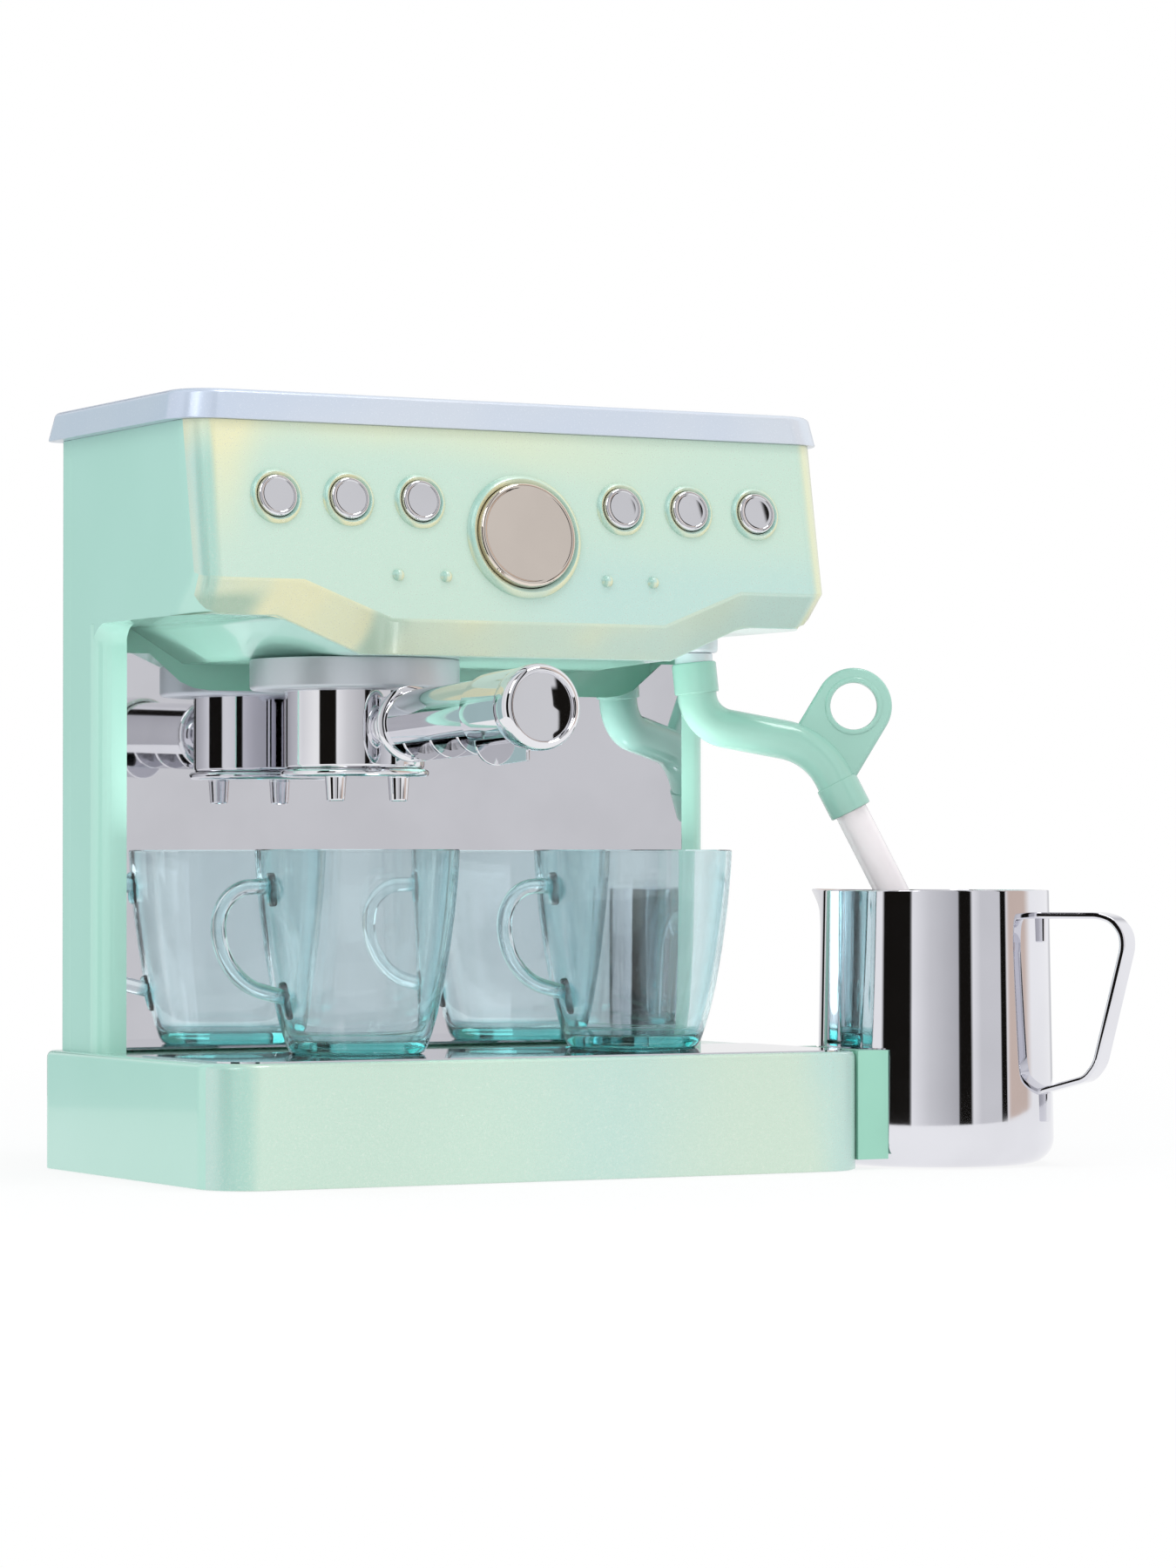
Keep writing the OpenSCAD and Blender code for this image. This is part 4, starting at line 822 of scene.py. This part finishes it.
def handleSleeve():
    h = handle
    b, z, r = h["barrel"], h["length"], h["capR"]
    bm = bmesh.new()
    inner, outer = h["barrelR"] + 0.45, h["sleeveR"]
    troughTurn([(inner, b), (outer, b), (outer + 0.2, b + 6), (r - 0.5, z - 8), (inner, z - 8)],
               h["sleeveTurn"], 54, bm)
    cap = [(0, z - 6), (r - 2.6, z - 6), (r - 2.6, z - 9.6), (r - 2.0, z - 9.8), (r - 0.7, z - 9.5),
           (r - 0.2, z - 7.5), (r, z - 5), (r, z - 2.6), (r - 0.25, z - 1.5), (r - 0.8, z - 0.6),
           (r - 1.5, z - 0.1), (r - 2.0, z), (r - 2.4, z - 0.3), (r - 2.6, z - 0.9)]
    return lathe(cap + domed(r - 2.7, z - 1.3, z - 0.68, 10), 96, turn=along, bm=bm)


finished("handleSleeve", handleSleeve(), "portafilter", "chrome", ["handle_sleeve"])
print("portafilter made")

# steam wand, drawn flat with local X along its reach, then turned
wand = {
    "x": 85.8, "y": 5.0, "z": 155.5, "turn": -28.5, "pipeR": 6.15, "first": -84.0, "leg1": 10.6,
    "leg2": 18.13, "leg3": 4.0, "bend1": 11.5, "bend2": 22.0, "turn1": 73.2, "turn2": 52.2,
    "loopAt": (50.0, -13.6), "loopR": 12.0, "holeR": 7.3, "plate": 4.2, "webLeft": (31, -22),
    "webRight": (50, -37), "webUnder": [(44, -34), (38, -28)], "tubeR": 5.1, "tubeLong": 50.0,
    "nutLow": 158.6, "nutR": 7.5,
}
toX = Matrix.Rotation(pi / 2, 4, "Y")
wandPlace = (Matrix.Translation((wand["x"], wand["y"], wand["z"])) @ turnZ(wand["turn"])
             @ Matrix.Rotation(pi / 2, 4, "X"))


def bendCentre(spot, radius, turn):
    return spot @ Vector((0, radius if turn > 0 else -radius, 0))


def turnAbout(centre, turn):
    return Matrix.Translation(centre) @ turnZ(turn) @ Matrix.Translation(-centre)


def wandPath(distance=0.0):
    # where the pipe's line ends after both bends, and the frame there with local X running on
    w = wand
    spot = turnZ(w["first"]) @ Matrix.Translation((w["leg1"], 0, 0))
    for radius, turn, leg in ((w["bend1"], w["turn1"], w["leg2"]), (w["bend2"], -w["turn2"], distance)):
        spot = turnAbout(bendCentre(spot, radius, turn), turn) @ spot @ Matrix.Translation((leg, 0, 0))
    return spot


def wandPipe():
    w = wand
    bm = bmesh.new()
    bmesh.ops.create_circle(bm, segments=40, radius=w["pipeR"], cap_ends=False)
    spot = turnZ(w["first"])
    placed(bm, spot @ toX)
    last = list(bm.edges)
    for leg, radius, turn in ((w["leg1"], w["bend1"], w["turn1"]), (w["leg2"], w["bend2"], -w["turn2"]),
                              (w["leg3"], 0, 0)):
        last = drawn(bm, last, spot.to_3x3() @ Vector((leg, 0, 0)))
        spot = spot @ Matrix.Translation((leg, 0, 0))
        if turn:
            centre = bendCentre(spot, radius, turn)
            last = swept(bm, last, centre, (0, 0, 1), turn, 20)
            spot = turnAbout(centre, turn) @ spot
    closed(bm)
    return bm


def webPlate():
    w = wand
    centre = Vector(w["loopAt"])
    ends = [Vector(w["webLeft"]), Vector(w["webRight"])]

    def touch(end, side):
        # where the line from an end meets the loop's edge
        gap = end - centre
        return atan2(gap.y, gap.x) + side * acos(w["loopR"] / gap.length)

    start, stop = touch(ends[0], -1), touch(ends[1], 1)
    while stop > start:
        stop -= 2 * pi
    angles = [start + (stop - start) * k / 40 for k in range(41)]
    arc = [centre + w["loopR"] * Vector((cos(a), sin(a))) for a in angles]
    outline = [ends[0]] + arc + [ends[1]] + [Vector(p) for p in w["webUnder"]]
    bm = bmesh.new()
    half = w["plate"] / 2
    face = bm.faces.new([bm.verts.new((p.x, p.y, -half)) for p in outline])
    ran = bmesh.ops.extrude_face_region(bm, geom=[face])["geom"]
    bmesh.ops.translate(bm, vec=(0, 0, 2 * half), verts=pointsOf(ran))
    outward(bm)
    rounded(bm, edgesWhere(bm, lambda a, b: abs(a.z - b.z) < 0.01, 60), 1.1, 4)
    hole = lathe([(0, -6), (w["holeR"] + 0.6, -6), (w["holeR"] + 0.6, 6), (0, 6)], 64, (*w["loopAt"], 0))
    return combined(bm, hole, "DIFFERENCE")


def steamWand():
    w = wand
    bm = wandPipe()
    collar = [(0, 0), (6.3, 0), (6.75, 0.2), (6.95, 0.7), (6.95, 9.3), (6.85, 9.6), (6.0, 9.8), (0, 9.8)]
    bore = w["tubeR"] + 0.05
    ferrule = [(bore, 12.0), (bore + 0.15, 12.2), (6.3, 12.2), (6.6, 12.0), (6.7, 11.6), (6.7, 2.5),
               (6.6, 2.1), (5.9, 2.0), (0, 2.0), (0, 4.2), (bore, 4.2), (bore, 12.0)]
    # the bead round the loop's hole, the same on both faces
    upper = [(2.0, 1.6), (1.7, 2.2), (1.2, 2.45), (0.7, 2.45), (0.2, 2.2), (0.0, 1.7)]
    lower = [(out, -z) for out, z in reversed(upper)]
    bead = [(w["holeR"] + out, z) for out, z in lower + upper + lower[:1]]
    lathe(collar, 56, turn=turnZ(w["first"]) @ toX, bm=bm)
    lathe(ferrule, 56, turn=wandPath() @ toX, bm=bm)
    lathe(bead, 72, (*w["loopAt"], 0), bm=bm)
    added(bm, webPlate())
    placed(bm, wandPlace)
    return bm


def wandTube():
    r, long = wand["tubeR"], wand["tubeLong"]
    wall = [(r - 1.3, 0.2), (r - 1.1, 0), (r - 0.2, 0), (r, 0.2), (r, long - 0.2), (r - 0.2, long),
            (r - 1.1, long), (r - 1.3, long - 0.2), (r - 1.3, 0.2)]
    return lathe(wall, 48, turn=wandPlace @ wandPath(4.1) @ toX)


def wandNut():
    low, r, high = wand["nutLow"], wand["nutR"], head["wingZ"] - 0.1
    return lathe([(2.6, low), (r - 1.1, low - 0.05), (r - 0.5, low + 0.1), (r - 0.1, low + 0.5),
                  (r, low + 1.1), (r, high), (2.6, high), (2.6, low)], 56, (wand["x"], wand["y"], 0))


def wandPin():
    at = (wand["x"], wand["y"], wand["z"])
    return lathe([(0, -1.5), (5.9, -1.5), (5.9, 2.5), (5.6, 2.9), (0, 2.9)], 48, at)


finished("steamWand", steamWand(), "wand", "mint", ["steam_wand"], [finishes["wand"]])
finished("wandTube", wandTube(), "wand", "clear_tube", ["wand_tube"])
finished("wandNut", wandNut(), "machine", "satin_silver", ["wand_nut"], [finishes["nut"]])
finished("wandPin", wandPin(), "wand", "satin_silver", paints=[finishes["nut"]])
print("wand made")

# pitcher, its rim drawn out to a spout
pitcher = {
    "x": 146.4, "y": -40.0, "lowR": 36.7, "topR": 35.3, "high": 84.5, "foot": 8.0, "wall": 1.0,
    "handle": -56.0, "spoutOut": 7.2, "spoutDrop": 24.0, "spoutSpread": 30.0, "strapW": 9.0,
    "strapThick": 2.0,
    "strap": [(34.6, 77.8), (56.2, 77.8), (61.1, 76.1), (64.4, 72.0), (64.95, 67.2), (55.8, 31.0),
              (52.0, 26.2), (35.9, 21.7)],
    "tabs": [((33.6, -1.6, 68.5), (37.3, 1.6, 77.4)), ((35.2, -1.3, 13.5), (38.2, 1.3, 22.4))],
}


def pitcherBody():
    p = pitcher
    low, high, foot = p["lowR"], p["high"], p["foot"]
    turns = [radians(a) for a in range(0, 91, 10)]
    curve = [(low - foot + foot * sin(a), foot * (1 - cos(a))) for a in turns]
    wall = [(low + (p["topR"] - low) * k / 12, foot + (high - foot) * k / 12) for k in range(1, 13)]
    bm = lathe([(0, 0)] + curve + wall, 128)
    mouth = Matrix.Rotation(radians(p["handle"] + 180), 3, "Z") @ Vector((1, 0, 0))
    for v in bm.verts:
        flat = Vector((v.co.x, v.co.y, 0))
        rise = (v.co.z - high) / p["spoutDrop"] + 1
        if rise < 0 or flat.length < 30:
            continue
        near = max(0, 1 - flat.angle(mouth) / radians(p["spoutSpread"]))
        v.co += mouth * p["spoutOut"] * rise ** 2.4 * near ** 1.6
    outward(bm)
    sides = [f for f in bm.faces if abs(f.normal.z) < 0.3]
    if sides[0].normal.dot(sides[0].calc_center_median()) < 0:
        bmesh.ops.reverse_faces(bm, faces=bm.faces)
    obj = asObject(bm)
    thick = obj.modifiers.new("wall", "SOLIDIFY")
    thick.thickness, thick.offset = p["wall"], -1
    graph = bpy.context.evaluated_depsgraph_get()
    made = bmesh.new()
    made.from_mesh(bpy.data.meshes.new_from_object(obj.evaluated_get(graph)))
    bpy.data.objects.remove(obj)
    rim = [e for e in made.edges if min(v.co.z for v in e.verts) > high - 0.3 and e.calc_face_angle(0) > 1]
    rounded(made, rim, 0.35, 2)
    bmesh.ops.translate(made, vec=(p["x"], p["y"], 0), verts=made.verts)
    return made


def pitcherHandle():
    p = pitcher
    bm = bmesh.new()
    spots = [bm.verts.new((r, -p["strapW"] / 2, z)) for r, z in p["strap"]]
    lines = [bm.edges.new(pair) for pair in zip(spots, spots[1:])]
    drawn(bm, lines, (0, p["strapW"], 0))
    outward(bm)
    rounded(bm, bent(bm, 0.15), 1.9, 3)
    bmesh.ops.solidify(bm, geom=bm.faces, thickness=p["strapThick"])
    outward(bm)
    rounded(bm, bent(bm, 1.3), 0.5, 2)
    for low, high in p["tabs"]:
        tab = block(low, high)
        rounded(tab, tab.edges, 0.4, 2)
        added(bm, tab)
    placed(bm, Matrix.Translation((p["x"], p["y"], 0)) @ turnZ(p["handle"]))
    return bm


finished("pitcherBody", pitcherBody(), "pitcher", "pitcher_chrome", ["pitcher_body"])
finished("pitcherHandle", pitcherHandle(), "pitcher", "pitcher_chrome", ["pitcher_handle"])
print("pitcher made")

# cups
cupCurve = [(19.2, 0), (20.0, 0.4), (20.9, 2), (22.3, 6), (24.0, 12), (25.8, 20), (27.5, 30), (29.1, 42),
            (30.2, 54), (30.5, 60.1)]
earBends = [((-37.1, 0, 37.9), -90, 14), ((-29.0, 0, 37.9), -76, 22)]  # centre, degrees and steps
earBars = [((-29.6, 0, 43.6), -5, 10.0), ((-23.3, 0, 10.4), -15, 11.4)]  # foot, lean and length


def cupEar():
    c = cup
    ear = bmesh.new()
    bmesh.ops.create_circle(ear, segments=20, radius=c["ear"], cap_ends=False)
    placed(ear, Matrix.Translation((-28.6, 0, c["earTop"])) @ toX)
    last = drawn(ear, list(ear.edges), (-8.5, 0, 0))
    for middle, angle, steps in earBends:
        last = swept(ear, last, middle, (0, 1, 0), angle, steps)
    drawn(ear, last, (8.6, 0, -2.1))
    closed(ear)
    for low, lean, long in earBars:
        bar = lathe([(0, 0), (1.0, 0.1), (1.6, 0.6), (1.8, 1.4), (1.8, long - 1.4), (1.6, long - 0.6),
                     (1.0, long - 0.1), (0, long)], 20, low, Matrix.Rotation(radians(lean), 4, "Y"))
        ear = combined(ear, bar, "UNION")
    turned = Matrix.Rotation(radians(c["earTurn"]), 3, "Z")
    bmesh.ops.rotate(ear, verts=ear.verts, cent=(0, 0, 0), matrix=turned)
    return ear


def cupShape(place):
    c = cup
    high, floor = c["high"], c["floor"]
    inner = [(r - c["wall"], z) for r, z in cupCurve if z >= 6]
    bm = lathe([(0, 0)] + cupCurve + [(30.2, high), (0, high)], 96)
    bm = combined(bm, cupEar(), "UNION")
    hollow = [(0, floor), (18.6, floor), (19.6, floor + 0.3)] + inner + [(29.4, high + 0.5), (0, high + 0.5)]
    bm = combined(bm, lathe(hollow, 96), "DIFFERENCE")
    bmesh.ops.translate(bm, vec=place, verts=bm.verts)
    return bm


finished("cupLeft", cupShape(cup["left"]), "cup_l", "cup_teal", ["cup_left"])
finished("cupRight", cupShape(cup["right"]), "cup_r", "cup_teal", ["cup_right"])
print("cups made")

# cradle beside the base
cradle = {"low": 3.0, "high": 36.0, "y": (-61.0, -19.0), "out": 120.5, "corner": 3.0, "topEdge": 1.6,
          "pitcherR": 36.8}


def cradleShape():
    c = cradle
    bm = block((base["half"] - 3, c["y"][0], c["low"]), (c["out"], c["y"][1], c["high"]))
    rounded(bm, uprights(bm, lambda p: p.x > 115), c["corner"], 5)
    hollow = lathe([(0, 0), (c["pitcherR"], 0), (c["pitcherR"], 50), (0, 50)], 128,
                   (pitcher["x"], pitcher["y"], 0))
    bm = combined(bm, hollow, "DIFFERENCE")
    keep = roundedBlock(base["half"] + 0.05, -base["depth"] - 0.05, base["depth"], -1, 50,
                        base["frontCorner"], base["backCorner"], 10)
    bm = combined(bm, keep, "DIFFERENCE")
    top = edgesWhere(bm, lambda a, b: min(a.z, b.z) > c["high"] - 0.01 and min(a.x, b.x) > 108.2, 50)
    rounded(bm, top, c["topEdge"], 4)
    return bm


# the cradle takes the darker mint: painted shade, as it stands in the shade beside the base
finished("cradle", cradleShape(), "machine", "mint", ["pitcher_cradle"], [finishes["mint_under"]])
print("cradle made")

# rear cover
rear = {"half": 105.2, "front": 50.8, "back": 59.1, "low": 36.02, "high": 220.98, "corner": 2.6, "seam": 0.4}


def rearCover():
    c = rear
    bm = block((-c["half"], c["front"], c["low"]), (c["half"], c["back"], c["high"]))
    rounded(bm, uprights(bm, lambda p: p.y > c["back"] - 0.1), c["corner"], 6)
    rounded(bm, uprights(bm, lambda p: p.y < c["front"] + 0.1), c["seam"], 2)
    return bm


finished("rearCover", rearCover(), "machine", "mint", ["rear_cover"])
print("rear cover made")

# floor, lights and camera
stage = {
    "size": 6.0, "sink": 0.0002, "floorTone": 0.9, "keyPower": 6.0, "fillPower": 4.0, "topPower": 4.0,
    "frontPower": 4.5, "bouncePower": 0.17, "skyPower": 0.86,
}
bm = bmesh.new()
bmesh.ops.create_grid(bm, x_segments=1, y_segments=1, size=stage["size"])
bmesh.ops.translate(bm, vec=(0, 0, -stage["sink"]), verts=bm.verts)
floor = asObject(bm, "floor")


def raysOf(tree):
    # the glossy rays alone, and all rays that show a surface to the eye
    ray = tree.nodes.new("ShaderNodeLightPath").outputs
    glossy = Wire(tree, ray["Is Glossy Ray"])
    seen = glossy + Wire(tree, ray["Is Camera Ray"]) + Wire(tree, ray["Is Transmission Ray"])
    return glossy, glossy.maths("MINIMUM", seen, 1.0)


def floorPaint():
    made = bpy.data.materials.new("floorPaint")
    made.use_nodes = True
    tree = made.node_tree
    tree.nodes.clear()
    spot = Wire(tree, tree.nodes.new("ShaderNodeTexCoord").outputs["Object"])
    glossy, seen = raysOf(tree)
    far = distanceTo(spot, (0, 0, 0)).step(0.2, 0.9)
    matte = spot.node("ShaderNodeBsdfDiffuse", {}, {"Color": (*(stage["floorTone"],) * 3, 1)})
    glow = spot.node("ShaderNodeEmission", {}, {"Color": (1, 1, 1, 1), "Strength": 1.0})
    share = spot.maths("MAXIMUM", seen * (0.82 + 0.18 * far), 0.8 + 0.15 * glossy)
    near = spot.node("ShaderNodeMixShader", {}, {0: share, 1: matte, 2: glow})
    # chrome mirrors only the floor near it, and from below the floor is clear, so the underside shows
    beyond = glossy * distanceTo(spot, (0.19, -0.05, 0)).step(0.63, 0.65)
    below = Wire(tree, tree.nodes.new("ShaderNodeNewGeometry").outputs["Backfacing"])
    clear = spot.node("ShaderNodeBsdfTransparent")
    gone = spot.maths("MAXIMUM", beyond, below)
    end = spot.node("ShaderNodeMixShader", {}, {0: gone, 1: near, 2: clear})
    out = tree.nodes.new("ShaderNodeOutputMaterial")
    tree.links.new(end.socket, out.inputs[0])
    return made


floor.data.materials.append(floorPaint())

world = bpy.data.worlds.new("studio")
scene.world = world
world.use_nodes = True
tree = world.node_tree
tree.nodes.clear()
spot = Wire(tree, tree.nodes.new("ShaderNodeTexCoord").outputs["Generated"])
glossy, seen = raysOf(tree)
# what the chrome mirrors: upright bands of light and dark around the room, by their direction in degrees
white, pale, card, grey = (1, 1, 1), (0.95, 0.95, 0.95), (0.92, 0.92, 0.93), (0.8, 0.8, 0.82)
room, shade, dusk, edge = (0.70, 0.70, 0.715), (0.6, 0.6, 0.62), (0.5, 0.5, 0.52), (0.008, 0.007, 0.006)
warm, teal = (0.68, 0.55, 0.48), (0.4, 0.54, 0.55)
bands = [
    (-176.5, pale), (-175, edge), (-146.5, edge), (-145.5, card), (-128, room), (-99, dusk), (-98.4, edge),
    (-86, edge), (-85.6, card), (-76, room), (-54, room), (-53.6, edge), (-48, edge), (-47.4, card),
    (-43, warm), (-22, warm), (-12, white), (30, white), (40, shade), (52, pale), (80, room), (84, edge),
    (90, edge), (92, card), (103, card), (106, teal), (126, teal), (129, card), (150, grey), (176, pale),
]
turnRound = spot.maths("ARCTAN2", axisOf(spot, "Y"), axisOf(spot, "X")) / (2 * pi) + 0.5
around = spot.node("ShaderNodeValToRGB", {"stops": [((a + 180) / 360, c) for a, c in bands]}, {0: turnRound})
# a dark card at eye height for the handle's cap, wider above and below
away = spot.maths("ABSOLUTE", axisOf(spot, "Z"))
spread = away.step(0.05, 0.1)
cardStart, cardEnd = turnRound + 0.0095 * spread, turnRound - 0.006 * spread
raised = cardStart.step(0.3511, 0.352) * (1 - cardEnd.step(0.3666, 0.3678)) * (1 - away.step(0.2, 0.24))
tone = glossy.mix(white, raised.mix(around, edge))
lit = spot.node("ShaderNodeBackground", {}, {"Color": (0.97, 0.985, 1.0, 1), "Strength": stage["skyPower"]})
shown = spot.node("ShaderNodeBackground", {}, {"Color": tone, "Strength": 1.0})
both = spot.node("ShaderNodeMixShader", {}, {0: seen, 1: lit, 2: shown})
out = tree.nodes.new("ShaderNodeOutputWorld")
tree.links.new(both.socket, out.inputs[0])


def softLamp(name, at, aim, size, power, shine=False, seen=True):
    lamp = bpy.data.lights.new(name, "AREA")
    lamp.shape, lamp.size, lamp.size_y, lamp.energy = "RECTANGLE", size[0], size[1], power
    obj = bpy.data.objects.new(name, lamp)
    obj.location = at
    obj.rotation_euler = (Vector(aim) - Vector(at)).to_track_quat("-Z", "Y").to_euler()
    obj.visible_glossy, obj.visible_camera, obj.visible_transmission = shine, seen, seen
    scene.collection.objects.link(obj)


softLamp("keyLamp", (-1.3, -0.8, 1.5), (0, 0, 0.12), (0.7, 1.0), stage["keyPower"], True)
softLamp("fillLamp", (1.3, -1.4, 0.7), (0, 0, 0.12), (1.0, 1.2), stage["fillPower"])
softLamp("topLamp", (0.25, -0.45, 1.5), (0, 0, 0.1), (0.5, 0.3), stage["topPower"], True)
softLamp("bounceLamp", (0, 0.012, 0.1), (0, 0.012, 0.2), (0.17, 0.05), stage["bouncePower"], seen=False)
softLamp("frontLamp", (-0.55, -1.5, 0.25), (0, 0, 0.15), (1.2, 0.5), stage["frontPower"])

view = {"focal": 5743.9, "longSide": 1800, "sensor": 36.0, "yaw": 28.47, "pitch": 0.888,
        "at": (-0.6896, -1.3555, 0.0933)}
eye = bpy.data.cameras.new("photoView")
eye.sensor_width = view["sensor"]
eye.lens = view["focal"] * view["sensor"] / view["longSide"]
camera = bpy.data.objects.new("photoView", eye)
camera.location = view["at"]
camera.rotation_euler = (radians(90 + view["pitch"]), 0, radians(-view["yaw"]))
scene.collection.objects.link(camera)
scene.camera = camera
scene.view_settings.view_transform = "Standard"
print("stage made")
